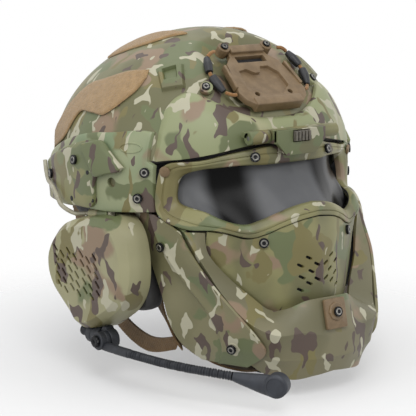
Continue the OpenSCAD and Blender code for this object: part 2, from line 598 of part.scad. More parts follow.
// The lens lies behind the frame and reaches past the opening all round
lens_0 = [[0, -136.5, 14], [-24, -133.5, 13.5], [-42, -126.5, 13.5], [-56, -119, 12.5], [-68, -110, 10.5],
    [-77, -102, 8], [-85, -93, 4]];
lens_1 = [[0, -144, -1], [-24, -140, -2], [-43, -131, -3], [-58, -120.5, -4], [-71, -109, -5],
    [-81, -99, -5], [-89, -90, -6]];
lens_2 = [[0, -154, -12], [-22, -150, -14], [-42, -140, -18], [-58, -128, -19], [-72, -116, -18],
    [-82, -106, -16], [-90, -93, -14]];
lens_3 = [[0, -163, -21], [-18, -160.5, -23.5], [-34, -154, -30], [-52, -143, -37.5], [-68, -132.5, -34],
    [-80, -120, -28], [-90, -97, -23]];
function doubled(row) = concat(row, [for (i = [len(row) - 2 : -1 : 0]) [-row[i].x, row[i].y, row[i].z]]);
function lens_half(grow) = [for (i = [0 : len(open_half) - 1])
    open_half[i] + grow * unit(rim_half[i] - open_half[i])];
module lens() {
    g = loft([for (r = [lens_0, lens_1, lens_2, lens_3]) doubled(curve(reversed(r), 2))], 2);
    color(black) sheet([for (row = g) inwards(row, lens_back)], -lens_wall);
}
module lens_gasket() {
    rim_line = inwards(whole(curve(lens_half(0.6), 2)), frame_wall + 0.3);
    wide = inwards(whole(curve(lens_half(lens_edge + 1.5), 2)), frame_wall + 0.3);
    color(black) between([rim_line, wide], [for (row = [rim_line, wide]) inwards(row, 0.6)], wrap = true);
}

// Face plate between the lens and the chin guard, with two banks of vent slots
plate_0 = [[-79, -122, -39.2], [-68, -132, -41], [-54, -141.5, -45.2], [-40, -150.5, -41.2], [-30, -156.5, -36],
    [-16, -162.2, -31.3], [0, -164.5, -29.2]];
plate_1 = [[-77, -119.5, -56], [-66, -131, -58], [-53, -143, -58], [-42, -151, -52], [-28, -159, -48],
    [-13, -166.5, -50], [0, -168.5, -51]];
plate_2 = [[-69, -126, -76], [-60, -135, -76], [-50, -144.5, -75], [-40, -152.5, -72], [-27, -160, -69],
    [-12, -167, -67], [0, -169.5, -67]];
plate_3 = [[-57, -135.5, -94], [-50, -142, -96], [-43, -149, -96], [-35, -155.5, -94], [-25, -162, -90],
    [-12, -168, -87], [0, -170.5, -86]];
plate_4 = [[-49, -140, -107], [-44, -145, -107], [-38, -150, -106], [-31, -156, -104], [-22, -162.5, -101],
    [-11, -168.5, -98], [0, -171, -97]];
vent_w = 2.2;
vent_l = 6;
// Middles of the right bank of vents, as (x, z)
vents = [[-11.5, -61], [-18, -67], [-9.5, -72], [-17, -76.5], [-11.5, -81.5], [-18.5, -86.5], [-4.5, -66.5],
    [-4.5, -78.5]];
module vent_cut(s) {
    for (v = vents) translate([s * -v.x, -150, v.y]) rotate([90, 0, 0]) rotate(s * 28)
        linear_extrude(30) square([vent_l, vent_w], center = true);
}
module face_plate() {
    rows = [for (r = [plate_0, plate_1, plate_2, plate_3, plate_4]) doubled(curve(r, 2))];
    color(khaki) difference() {
        sheet(loft(rows, 2), -mask_wall);
        vent_cut(right);
        vent_cut(left);
    }
}

// Chin guard: a U that runs down from both temples and round the chin
guard_a = [[-80.5, -121.5, -40], [-78, -123, -57], [-66, -134.5, -76], [-53, -144.5, -90], [-42, -155, -101],
    [-34, -167, -99], [-22, -175, -93], [-14, -181, -91], [0, -182, -91]];
guard_b = [[-92, -109, -40], [-89, -119, -54], [-84.5, -132.5, -71], [-78, -143.5, -88], [-66, -158.5, -107],
    [-52, -177, -116], [-30, -184, -116], [-14, -188, -119], [0, -188.5, -119]];
guard_c = [[-91, -100, -37.5], [-88.5, -108, -56], [-84, -121, -75], [-77, -133, -93], [-66, -150, -121],
    [-52, -172, -136], [-35, -181, -138], [-15, -189, -138], [0, -190, -138]];
guard_d = [[-90.5, -80, -31.5], [-88.5, -84, -58], [-84, -99, -78], [-76.5, -116, -98], [-65, -137, -130],
    [-52, -156, -150], [-36, -175, -155], [-16, -183, -153], [0, -185.5, -151]];
module chin_guard() {
    rows = [for (r = [guard_a, guard_b, guard_c, guard_d]) doubled(curve(r, 2))];
    color(khaki) sheet(rows, -mask_wall);
}
guard_centre_y = -184.6;
module chin_clip() {
    color(tan) translate([-1, guard_centre_y - 0.8, -103.5]) rotate([90 - 13, 0, 0]) {
        linear_extrude(3) hull() for (x = [-9, 9], y = [-11, 10]) translate([x, y]) circle(r = 1.5, $fn = 24);
        translate([0, 1, 2.9]) cylinder(r = 7.6, h = 1.6, $fn = 8);
    }
}

// Cheek plates, screwed on the outside of the arms of the chin guard
cheek_rear = [[-102, -52, -31.5], [-101.5, -58, -48], [-100, -68, -62], [-98, -76, -76], [-95, -85, -100],
    [-92, -90, -119], [-86, -97, -134], [-75, -110, -146.5]];
cheek_mid = [[-100.5, -80, -31], [-99.5, -91, -49], [-95.5, -103, -65], [-89.5, -115, -80], [-79.5, -138, -103],
    [-73, -145.5, -120], [-70.5, -144, -133], [-67.5, -128, -147]];
cheek_edge = [[-96, -107, -40], [-93.5, -117, -54], [-89, -131, -71], [-82.5, -142, -86], [-72.5, -156.5, -104],
    [-63.5, -167.5, -120], [-57.5, -169, -132.5], [-59, -149, -147]];
cheek_wall = 2.4;
// Bosses behind the two screws of a cheek plate: place, outward direction and reach to the chin guard
cheek_boss_at = [[[101.3, -91.1, -53.7], [0.99, -0.09, -0.14], 11.3],
    [[73, -146.9, -129.8], [0.87, -0.4, -0.28], 8.3]];
module cheek_plate(s) {
    g = loft([curve(cheek_rear, 2), curve(cheek_mid, 2), curve(cheek_edge, 2)], 2);
    color(khaki) {
        sheet(flip_grid(g, -s), s * cheek_wall);
        for (q = cheek_boss_at) let (n = [s * q[1].x, q[1].y, q[1].z])
            aim([s * q[0].x, q[0].y, q[0].z], -n) translate([0, 0, cheek_wall - 0.6])
                cylinder(r = 4, h = q[2] - cheek_wall + 0.3, $fn = 32);
    }
}
module cheek_plate_r() { cheek_plate(right); }
module cheek_plate_l() { cheek_plate(left); }
module cheek_pad(s) {
    c = curve(guard_c, 4);
    d = curve(guard_d, 4);
    n = 12;
    g = [for (i = [0 : 6]) [for (j = [0 : n]) lerp(c[j + 1], d[j + 1], i / 6)]];
    back = [for (i = [0 : 6]) [for (j = [0 : n]) 8 + 6 * pow(max(0, sin(180 * i / 6) * sin(180 * j / n)), 0.4)]];
    outer = offset_grid(g, -mask_wall - seal_gap);
    inner = [for (i = [0 : 6]) [for (j = [0 : n]) outer[i][j] + [back[i][j], 0.15 * back[i][j], 0]]];
    color(black) between(flip_grid(outer, -s), flip_grid(inner, -s));
}
module cheek_pad_r() { cheek_pad(right); }
module cheek_pad_l() { cheek_pad(left); }

// Screws of the mask: brow, corner, face plate, both ends of the cheek plates and chin
mask_screw_at = [[[37.4, -129.9, 17.2], [0.4, -0.88, 0.24]], [[95.4, -88.7, 6.4], [0.69, -0.71, -0.15]],
    [[43.4, -149.4, -47.9], [0.58, -0.81, 0.12]], [[101.3, -91.1, -53.7], [0.99, -0.09, -0.14]],
    [[73, -146.9, -129.8], [0.87, -0.4, -0.28]]];
module mask_screws() {
    color(black) for (s = [right, left]) {
        for (q = mask_screw_at) {
            n = unit([s * q[1].x, q[1].y, q[1].z]);
            aim([s * q[0].x, q[0].y, q[0].z] + 0.45 * n, n) cap_screw(screw_r, 1.8, 1.6, 0.01);
        }
    }
    color(black) translate([-1, guard_centre_y - 5.7, -101.6]) rotate([90 - 13, 0, 0])
        cap_screw(screw_r, 1.2, 1.6, 0.01);
}

// Latch housing in the middle of the hinge, and the ribbed button that frees the mask
latch_front = 11.8;
latch_plate = 4;
button_w = 17;
button_h = 9;
button_t = 3;
button_clear = 0.3;
// Travel of the button into its pocket
button_travel = 1.2;
module latch_housing() {
    color(green) difference() {
        translate(hinge_at) union() {
            along_x(-latch_half_w, latch_half_w, barrel_r);
            translate([-latch_half_w, -latch_front, -barrel_r]) cube([2 * latch_half_w, latch_front, 2 * barrel_r]);
            translate([0, -latch_front, 0]) rotate([-90, 0, 0]) linear_extrude(latch_plate)
                polygon([[-latch_half_w, -barrel_r], [latch_half_w, -barrel_r], [latch_half_w, 4],
                    [latch_half_w - 10, 15], [-latch_half_w + 10, 15], [-latch_half_w, 4]]);
        }
        translate(hinge_at) along_x(-80, 80, pin_r + pin_clear);
        translate(hinge_at + [-button_w / 2 - button_clear, -latch_front - 1, -button_h / 2 - button_clear])
            cube([button_w + 2 * button_clear, 1 + button_t + button_travel + 0.2, button_h + 2 * button_clear]);
    }
}
module latch_button() {
    color(dark_grey) translate(hinge_at + [-button_w / 2, -latch_front - 0.8, -button_h / 2]) {
        cube([button_w, button_t + 0.6, button_h]);
        for (k = [0 : 4]) translate([0.5 + k * (button_w - 2.2) / 4, -1.2, 0.3]) cube([1.2, 1.3, button_h - 0.6]);
    }
}

// Ear cups
// Outline of a cup as (y, z)
cup_edge = [[-18, -38.5], [-44, -35], [-64, -36.5], [-77, -47], [-83.5, -66], [-81.5, -88], [-70, -106],
    [-52, -119], [-34, -129], [-18, -131], [-8, -122], [4, -112], [17, -100], [24, -86], [24, -70], [15, -54], [1, -43]];
cup_mid = [-30, -84];
cup_tilt = 0.1;
// Ring of the cup at depth d from the rim, drawn in by the factor k
function cup_ring(d, k, s, tilt = 1) = [for (p = loop_curve(cup_edge, 2)) let (q = lerp(cup_mid, p, k))
    [s * (cup_rim_x + d + tilt * cup_tilt * (q.x - cup_mid.x) * d / cup_depth), q.x, q.y]];
function cup_pole(d, s) = [s * (cup_rim_x + d), cup_mid.x, cup_mid.y];
// Hinge line of a cup: along its top edge, higher in front
cup_pin_x = cup_rim_x + 12;
cup_pin = [-30, -34.2];
cup_pin_tilt = 8;
knuckle_r = 4.2;
module on_cup_pin(s, d = 0) {
    translate([s * cup_pin_x, cup_pin.x, cup_pin.y]) rotate([90 - cup_pin_tilt, 0, 0]) translate([0, 0, d]) children();
}
module cup_grille_cut(s) {
    for (r = [0 : 4], c = [0 : 6]) let (y = 6 - c * 8.4 - r * 1.2, z = -66 - r * 7.4 - (c % 2) * 3.7)
        translate([s * (cup_rim_x + cup_depth / 2), y, z]) rotate([0, s * 90, 0]) rotate([0, 0, s > 0 ? 45 : -45])
            linear_extrude(cup_depth) square([slot_l, slot_w], center = true);
}
module ear_cup(s) {
    outer = [cup_ring(0, 1, s), cup_ring(cup_depth * 0.45, 1, s), cup_ring(cup_depth * 0.78, 0.96, s),
        cup_ring(cup_depth, 0.84, s)];
    inner = [cup_ring(0, 1 - cup_wall / 48, s), cup_ring(cup_depth * 0.45, 1 - cup_wall / 48, s),
        cup_ring(cup_depth * 0.75, 0.96 - cup_wall / 48, s), cup_ring(cup_depth - cup_wall, 0.8, s)];
    color(khaki) difference() {
        union() {
            bowl(outer, inner, cup_pole(cup_depth, s), cup_pole(cup_depth - cup_wall, s));
            on_cup_pin(s, -14) cylinder(r = knuckle_r, h = 28, $fn = 32);
        }
        on_cup_pin(s, -60) cylinder(r = pin_r + pin_clear, h = 120, $fn = 32);
        cup_grille_cut(s);
    }
}
module ear_cup_r() { ear_cup(right); }
module ear_cup_l() { ear_cup(left); }
seal_t = 19;
seal_gap = 0.3;
seal_half_l = 29;
seal_half_h = 37;
ear_mid = [-22, -80];
// Cushion ring: a rounded oval ring with drawn-in edges
function seal_loop(k, x, s) = [for (a = [0 : 15 : 345]) [s * x, ear_mid.x + seal_half_l * k * cos(a),
    ear_mid.y + seal_half_h * k * sin(a)]];
module ear_seal(s) {
    x0 = cup_rim_x - seal_gap;
    A = [seal_loop(0.98, x0, s), seal_loop(1.04, x0 - seal_t * 0.4, s), seal_loop(1, x0 - seal_t * 0.8, s),
        seal_loop(0.84, x0 - seal_t, s)];
    B = [seal_loop(0.6, x0, s), seal_loop(0.56, x0 - seal_t * 0.4, s), seal_loop(0.58, x0 - seal_t * 0.8, s),
        seal_loop(0.72, x0 - seal_t, s)];
    color(black) between(A, B, wrap = true);
}
module ear_seal_r() { ear_seal(right); }
module ear_seal_l() { ear_seal(left); }
speaker_radius = 20;
speaker_in = 8;
speaker_rear = 5;
module speaker(s) {
    post = cup_depth - cup_wall - speaker_in - speaker_rear - 0.6;
    color(dark_grey) translate([s * (cup_rim_x + speaker_in), ear_mid.x, ear_mid.y]) rotate([0, -s * 90, 0]) {
        cylinder(r = speaker_radius, h = speaker_in, $fn = 48);
        translate([0, 0, -speaker_rear]) cylinder(r = speaker_radius * 0.7, h = speaker_rear + 0.01, $fn = 48);
        translate([0, 0, -speaker_rear - post]) cylinder(r = speaker_radius * 0.4, h = post + 0.1, $fn = 32);
    }
}
module speaker_r() { speaker(right); }
module speaker_l() { speaker(left); }

// Arm of an ear cup: a bent wire that starts on the rail and ends as the pin of the cup
// Its run beside the shell as points (y, z, height above the dome)
arm_run = [[54, -1, 9.6], [50, -7.5, 9.8], [46, -12.5, 9.85], [40, -16, 10.1], [32, -17.5, 10.3], [24, -20, 10.9],
    [16, -25, 11.3], [9, -32, 10.5]];
arm_route = concat([for (q = arm_run) side_pt(q, q.z, right)], [[-cup_pin_x - 6.6, 0, -37.6],
    [-cup_pin_x, -9.2, -37.2], [-cup_pin_x, -14.65, -36.36]]);
module arm(s) {
    color(steel) {
        tube(flip(curve(arm_route, 3), -s), 1.8, 8);
        on_cup_pin(s, -15.5) cylinder(r = pin_r, h = 33, $fn = 32);
        on_cup_pin(s, 14.6) cylinder(r = 2.8, h = 3, $fn = 32);
    }
}
module arm_r() { arm(right); }
module arm_l() { arm(left); }

// Boom microphone on the right ear cup
boom_pivot = [-122, -47, -135.4];
hub_r = 7.5;
boom_foot = [-43.5, -129.6];
module boom_base() {
    color(black) {
        hull() {
            translate(boom_pivot) along_x(-3, 5, hub_r + 0.5, 32);
            translate([boom_pivot.x, boom_foot.x, boom_foot.y]) along_x(-3, 5, 4.4, 32);
        }
        translate(boom_pivot) {
            along_x(-14, 5, 2.5, 32);
            along_x(-15.5, -13, 5, 32);
        }
    }
}
boom_route = [[-129, -50, -139.5], [-129, -60, -139.2], [-128, -78, -138.8], [-125, -96, -139], [-119, -118, -139.8],
    [-111, -138, -140.6], [-101, -157, -141.5], [-92, -172, -142.5]];
module boom() {
    route = curve(boom_route, 12);
    n = len(route) - 1;
    plain = 26;
    radii = [for (i = [0 : n]) i < plain ? boom_r + 0.8 : boom_r + (i % 2) * rib_h];
    color(dark_grey) difference() {
        union() {
            tube(route, radii, 8);
            translate(boom_pivot) along_x(-12.6, -3.4, hub_r);
        }
        translate(boom_pivot) along_x(-30, 10, 2.5 + pin_clear, 32);
    }
}
pod_at = [-72, -202, -146];
module mic_pod() {
    start = boom_route[len(boom_route) - 1] + [0.5, -0.9, -0.1];
    d = unit(pod_at - start);
    wide = unit(cross(d, [0, 0, 1]));
    color(dark_grey) {
        tube([start, start + 8 * d, start + 20 * d, pod_at], [4.2, 5, 5.6, 6], 12);
        translate(pod_at) rotate([0, 0, atan2(wide.y, wide.x)]) rotate([0, 90, 0])
            translate([0, 0, -6]) cylinder(r = pod_r, h = 12, $fn = 48);
    }
}

shell();
brow_cover();
side_cover_r();
side_cover_l();
rail_cap_r();
rail_cap_l();
side_screws();
shroud_base();
shroud();
shroud_screws();
bungee_clips();
bungee_cords();
loop_top_r();
loop_top_l();
loop_side_r();
loop_side_l();
loop_rear();
pad_front();
pad_crown();
pad_rear();
pad_side_r();
pad_side_l();
fit_band();
nape_pad();
dial_housing();
fit_dial();
chin_strap_r();
chin_strap_l();
strap_buckle();
hinge_bracket();
hinge_pin();
arm_r();
arm_l();
mask_frame();
lens();
lens_gasket();
face_plate();
chin_guard();
cheek_plate_r();
cheek_plate_l();
cheek_pad_r();
cheek_pad_l();
chin_clip();
mask_screws();
latch_housing();
latch_button();
ear_cup_r();
ear_cup_l();
ear_seal_r();
ear_seal_l();
speaker_r();
speaker_l();
boom_base();
boom();
mic_pod();
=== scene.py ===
# Full-face sport helmet with a flip-up mask: the look of every piece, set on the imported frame.
# Points are in millimetres, as a maker would measure the helmet, and become metres in add_mesh().
import math

import bmesh
import bpy
import numpy as np
from mathutils import Matrix, Vector


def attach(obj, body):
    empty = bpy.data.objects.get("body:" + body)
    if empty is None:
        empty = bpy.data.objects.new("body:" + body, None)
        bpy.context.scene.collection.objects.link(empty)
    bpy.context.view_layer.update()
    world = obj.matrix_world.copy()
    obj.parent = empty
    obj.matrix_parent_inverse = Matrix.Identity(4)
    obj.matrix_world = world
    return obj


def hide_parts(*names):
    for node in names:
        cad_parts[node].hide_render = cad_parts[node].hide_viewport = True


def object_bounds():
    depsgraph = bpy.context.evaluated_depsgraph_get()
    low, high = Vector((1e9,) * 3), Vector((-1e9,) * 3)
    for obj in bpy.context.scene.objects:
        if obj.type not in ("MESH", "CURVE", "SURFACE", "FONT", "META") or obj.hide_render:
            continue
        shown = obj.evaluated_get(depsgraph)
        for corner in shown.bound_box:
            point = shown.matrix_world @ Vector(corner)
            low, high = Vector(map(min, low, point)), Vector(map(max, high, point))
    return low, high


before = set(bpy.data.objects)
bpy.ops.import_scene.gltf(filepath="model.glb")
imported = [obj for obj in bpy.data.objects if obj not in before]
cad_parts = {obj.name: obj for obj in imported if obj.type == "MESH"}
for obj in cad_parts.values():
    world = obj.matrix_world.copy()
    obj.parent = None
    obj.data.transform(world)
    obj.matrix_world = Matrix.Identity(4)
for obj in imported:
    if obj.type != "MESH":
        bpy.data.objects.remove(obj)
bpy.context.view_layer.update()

# Camera: on the wearer's right, in front and a little above, with the long lens of a
# product photograph.
MM = 0.001
scene = bpy.context.scene
view_turn = math.radians(-37)
view_lift = math.radians(10.9)
view_target = Vector((0, -18.7, -45)) * MM
view_distance = 1.4
view_lens = 140
towards_camera = Vector((math.sin(view_turn) * math.cos(view_lift),
                         -math.cos(view_turn) * math.cos(view_lift), math.sin(view_lift)))
camera = bpy.data.objects.new("camera", bpy.data.cameras.new("camera"))
scene.collection.objects.link(camera)
camera.location = view_target + towards_camera * view_distance
camera.rotation_euler = (-towards_camera).to_track_quat("-Z", "Y").to_euler()
camera.data.lens = view_lens
camera.data.sensor_width = 36
camera.data.clip_end = 20
scene.camera = camera


# Shell: a moulded dome of satin plastic under a printed camouflage film, with a recess for the
# shroud, a thin dark lining and a rubber edge pressed on its rim. The helpers for grids, meshes
# and finishes, which later pieces use as well, start here.
def paint(red, green, blue):
    """A colour as it looks on a screen, 0 to 255, as the linear value that a shader takes."""
    parts = [v / 255 for v in (red, green, blue)]
    return tuple(v / 12.92 if v < 0.04045 else ((v + 0.055) / 1.055) ** 2.4 for v in parts) + (1.0,)


class Value:
    """An output socket that takes part in Python expressions and adds the nodes they need."""

    def __init__(self, tree, socket):
        self.tree, self.socket = tree, socket

    def _math(self, operation, a, b):
        return self.tree.node("ShaderNodeMath", {"operation": operation}, {0: a, 1: b})

    def __add__(self, other):
        return self._math("ADD", self, other)

    def __sub__(self, other):
        return self._math("SUBTRACT", self, other)

    def __rsub__(self, other):
        return self._math("SUBTRACT", other, self)

    def __mul__(self, other):
        return self._math("MULTIPLY", self, other)

    __radd__ = __add__
    __rmul__ = __mul__


class Tree:
    """A node tree. Expressions on values add Math nodes, and node() adds every other node."""

    def __init__(self, tree):
        self.nodes, self.links = tree.nodes, tree.links

    def put(self, node, key, value):
        socket = node.inputs[key]
        if isinstance(value, Value):
            self.links.new(value.socket, socket)
        else:
            socket.default_value = value

    def node(self, kind, settings=None, inputs=None, out=0):
        node = self.nodes.new(kind)
        for key, value in (settings or {}).items():
            setattr(node, key, value)
        for key, value in (inputs or {}).items():
            self.put(node, key, value)
        return Value(self, node.outputs[out])


class Finish(Tree):
    """One material and the name of its slot. Constants go on the shader's own sockets."""

    def __init__(self, name, colour=(0.5, 0.5, 0.5, 1), rough=0.5, slot=None, **sockets):
        self.material = bpy.data.materials.new(name)
        self.material.use_nodes = True
        super().__init__(self.material.node_tree)
        self.slot = slot or name
        self.shader = self.nodes["Principled BSDF"]
        self.colour(colour)
        self.roughness(rough)
        for key, value in sockets.items():
            self.put(self.shader, key.replace("_", " "), value)

    def colour(self, value):
        self.put(self.shader, "Base Color", value)

    def roughness(self, value):
        self.put(self.shader, "Roughness", value)

    def bump(self, height, depth):
        """Height in millimetres times depth, as a bump on the shader's normal."""
        bump = self.node("ShaderNodeBump", None, {"Height": height, "Strength": 1.0,
                                                  "Distance": depth * MM})
        self.put(self.shader, "Normal", bump)

    def place(self, shift=(0, 0, 0)):
        """Points of the piece in millimetres, shifted."""
        point = self.node("ShaderNodeTexCoord", out="Object")
        point = self.node("ShaderNodeVectorMath", {"operation": "MULTIPLY"},
                          {0: point, 1: [1 / MM] * 3})
        return self.node("ShaderNodeVectorMath", {"operation": "ADD"}, {0: point, 1: shift})

    def noise(self, point, size, detail=2.0, rough=0.5):
        """Soft noise from 0 to 1 whose lumps are about size millimetres."""
        return self.node("ShaderNodeTexNoise", None,
                         {"Vector": point, "Scale": 1 / size, "Detail": detail, "Roughness": rough})

    def step(self, value, level, soft):
        """0 below level and 1 above it, over a band of soft."""
        return self.node("ShaderNodeMapRange", {"interpolation_type": "SMOOTHSTEP"},
                         {"Value": value, "From Min": level - soft, "From Max": level + soft})

    def mix(self, amount, first, second):
        return self.node("ShaderNodeMix", {"data_type": "RGBA"},
                         {"Factor": amount, 6: first, 7: second}, out=2)


def camouflage(name, slot, shift, base=(128, 126, 92), second=(110, 108, 74), blot=1.0):
    """Film in khaki, greens, browns and cream. Its motifs come from noise, and shift moves them."""
    rough = 0.5
    film = Finish(name, rough=rough, slot=slot, Coat_Weight=0.12, Coat_Roughness=0.35)
    point = film.place(shift)
    bend = film.node("ShaderNodeTexNoise", None, {"Vector": point, "Scale": 0.045, "Detail": 2.0},
                     out=1)
    bend = film.node("ShaderNodeVectorMath", {"operation": "SCALE"}, {0: bend, "Scale": 20.0})
    point = film.node("ShaderNodeVectorMath", {"operation": "ADD"}, {0: point, 1: bend})

    def motif(size, stretch, level, soft, offset, detail, distort):
        where = film.node("ShaderNodeVectorMath", {"operation": "MULTIPLY_ADD"},
                          {0: point, 1: [s / (size * blot) for s in stretch], 2: offset})
        cloud = film.node("ShaderNodeTexNoise", None,
                          {"Vector": where, "Scale": 1.0, "Detail": detail, "Distortion": distort})
        return film.step(cloud, level, soft)

    colour = film.mix(motif(62, (1, 1, 0.8), 0.5, 0.10, (3, 1, 7), 1.0, 0.3), paint(*base),
                      paint(*second))
    layers = [((46, (1, 1, 1.2), 0.62, 0.03, (11, 5, 2), 1.0, 0.3), (150, 128, 104)),
              ((42, (0.8, 0.8, 1.1), 0.6, 0.012, (1, 8, 4), 0.5, 0.6), (108, 116, 78)),
              ((26, (1.2, 1.2, 0.5), 0.65, 0.01, (6, 2, 9), 0.2, 0.6), (126, 118, 74)),
              ((20, (1.35, 1.35, 0.55), 0.662, 0.006, (2, 13, 5), 0.2, 0.9), (88, 73, 64)),
              ((16, (1.2, 1.2, 0.5), 0.675, 0.006, (9, 4, 14), 0.2, 0.8), (194, 190, 164))]
    for cloud, tint in layers:
        colour = film.mix(motif(*cloud), colour, paint(*tint))
    grain = film.noise(point, 0.9, 3.0)
    film.colour(film.mix(film.step(grain, 0.78, 0.2) * 0.10, colour, paint(90, 86, 66)))
    film.roughness(rough - 0.08 + 0.16 * film.noise(point, 14, 3.0))
    film.bump(film.noise(point, 1.1, 2.0), 0.035)
    return film


def span(a, b, c, d, steps):
    """Points of a smooth curve from b towards c, which comes from a and goes on to d."""
    return [0.5 * (2 * b + (c - a) * t + (2 * a - 5 * b + 4 * c - d) * t * t
                   + (3 * b - a - 3 * c + d) * t ** 3) for t in np.arange(steps) / steps]


def curve(points, steps):
    """Smooth open curve through the points, with some steps a span."""
    P = np.array(points, float)
    last = len(P) - 1
    out = [p for i in range(last) for p in span(P[max(i - 1, 0)], P[i], P[i + 1], P[min(i + 2, last)],
                                                steps)]
    return np.array(out + [P[-1]])


def ring_curve(points, steps):
    """Smooth closed curve through the points."""
    P = np.array(points, float)
    n = len(P)
    return np.array([p for i in range(n) for p in span(P[i - 1], P[i], P[(i + 1) % n], P[(i + 2) % n],
                                                       steps)])


def loft(rows, steps):
    """Grid that runs smoothly through section curves of the same number of points."""
    return curve(np.array(rows, float), steps)


def ruled(first, second, rows):
    """Grid of straight rows between two curves."""
    return np.array([np.array(first, float) * (1 - t) + np.array(second, float) * t
                     for t in np.linspace(0, 1, rows + 1)])


def rows_through(lines, rows):
    """Grid that runs straight from each line to the next, with some rows between two."""
    parts = [ruled(a, b, rows)[:-1] for a, b in zip(lines[:-1], lines[1:])]
    return np.concatenate(parts + [np.array([lines[-1]], float)])


def unit(v):
    """Vectors of length 1."""
    return v / np.linalg.norm(v, axis=-1, keepdims=True)


def normals(grid, way):
    """Unit normals of a grid of points, on the side that looks along way."""
    n = unit(np.cross(np.gradient(grid, axis=0), np.gradient(grid, axis=1)))
    return n if (n @ np.array(way, float)).mean() > 0 else -n


def flip(points, side):
    """Points drawn for the wearer's right, on the side that is asked for."""
    return np.array(points, float) * np.array([-side, 1, 1])


def shell_between(front, back, wrap=False):
    """Vertices and faces of the closed solid between two grids."""
    rows, cols = front.shape[:2]
    o = rows * cols
    end = cols if wrap else cols - 1
    faces = []
    for i in range(rows - 1):
        for j in range(end):
            k = (j + 1) % cols
            a, b, c, d = i * cols + j, i * cols + k, (i + 1) * cols + k, (i + 1) * cols + j
            faces += [(a, b, c, d), (o + d, o + c, o + b, o + a)]
    for j in range(end):
        k = (j + 1) % cols
        t = (rows - 1) * cols
        faces += [(j, o + j, o + k, k), (t + j, t + k, o + t + k, o + t + j)]
    if not wrap:
        for i in range(rows - 1):
            a, b, e = i * cols, (i + 1) * cols, cols - 1
            faces += [(a, b, o + b, o + a), (a + e, o + a + e, o + b + e, b + e)]
    return np.concatenate([front.reshape(-1, 3), back.reshape(-1, 3)]), faces


def ring_faces(rows, cols):
    """Faces between closed rings of points that follow each other."""
    return [(i * cols + j, i * cols + (j + 1) % cols, (i + 1) * cols + (j + 1) % cols,
             (i + 1) * cols + j) for i in range(rows - 1) for j in range(cols)]


def tube(route, radii, sides=16):
    """Round tube along a route, with a radius for each point or one for all, closed at its ends."""
    route = np.array(route, float)
    radii = np.full(len(route), radii, float) if np.isscalar(radii) else np.array(radii, float)
    along = unit(np.gradient(route, axis=0))
    side_way = np.cross(along[0], (0, 0, 1.0))
    if np.linalg.norm(side_way) < 0.1:
        side_way = np.cross(along[0], (0, 1.0, 0))
    verts = []
    for p, d, r in zip(route, along, radii):
        side_way = unit(side_way - d * side_way.dot(d))
        up = np.cross(d, side_way)
        for k in range(sides):
            a = 2 * math.pi * k / sides
            verts.append(p + r * (math.cos(a) * side_way + math.sin(a) * up))
    ends = [tuple(range(sides - 1, -1, -1)), tuple(range((len(route) - 1) * sides, len(route) * sides))]
    return np.array(verts), ring_faces(len(route), sides) + ends


def circle(r, n=32):
    return [(r * math.cos(2 * math.pi * k / n), r * math.sin(2 * math.pi * k / n)) for k in range(n)]


def lathe(profile, sides=48):
    """Solid turned about +Z from a profile of (radius, height), closed where the radius is 0."""
    verts = [(x, y, z) for r, z in profile for x, y in circle(r, sides)]
    return np.array(verts, float), ring_faces(len(profile), sides)


def slab(outline, low, high):
    """Solid of constant thickness from an outline of (x, y)."""
    n = len(outline)
    verts = [(x, y, low) for x, y in outline] + [(x, y, high) for x, y in outline]
    faces = [(k, (k + 1) % n, n + (k + 1) % n, n + k) for k in range(n)]
    faces += [tuple(range(n - 1, -1, -1)), tuple(range(n, 2 * n))]
    return np.array(verts, float), faces


def block(low, high):
    """Box between two corners."""
    (x0, y0, z0), (x1, y1, z1) = low, high
    return slab([(x0, y0), (x1, y0), (x1, y1), (x0, y1)], z0, z1)


def pose(at, *turns):
    """Place at a point, turned about one axis after another by degrees."""
    matrix = Matrix.Translation(Vector(at))
    for axis, degrees in turns:
        matrix = matrix @ Matrix.Rotation(math.radians(degrees), 4, axis)
    return matrix


def placed(solid, at=None, direction=None, matrix=None):
    """Solid moved by a matrix, or to a point with its +Z turned to a direction."""
    verts, faces = solid
    if matrix is None:
        matrix = pose(at) @ Vector(direction).to_track_quat("Z", "Y").to_matrix().to_4x4()
    m = np.array(matrix)
    return np.array(verts, float) @ m[:3, :3].T + m[:3, 3], faces


def joined(*solids):
    """Several solids as one list of vertices and faces."""
    verts, faces, start = [], [], 0
    for v, f in solids:
        verts.append(np.array(v, float))
        faces += [tuple(i + start for i in face) for face in f]
        start += len(v)
    return np.concatenate(verts), faces


def mirrored(solid):
    """The same solid on the other side of the middle plane."""
    verts, faces = solid
    return np.array(verts, float) * np.array([-1, 1, 1]), [tuple(reversed(f)) for f in faces]


def raw_object(name, solid, weld=True):
    """Object with the bare mesh of a solid, its faces turned outwards and its double points joined."""
    verts, faces = solid
    mesh = bpy.data.meshes.new(name)
    mesh.from_pydata([tuple(float(x) for x in v * MM) for v in np.array(verts, float)], [], faces)
    shape = bmesh.new()
    shape.from_mesh(mesh)
    if weld:
        bmesh.ops.remove_doubles(shape, verts=shape.verts, dist=1e-6)
    bmesh.ops.recalc_face_normals(shape, faces=shape.faces)
    shape.to_mesh(mesh)
    shape.free()
    made = bpy.data.objects.new(name, mesh)
    scene.collection.objects.link(made)
    return made


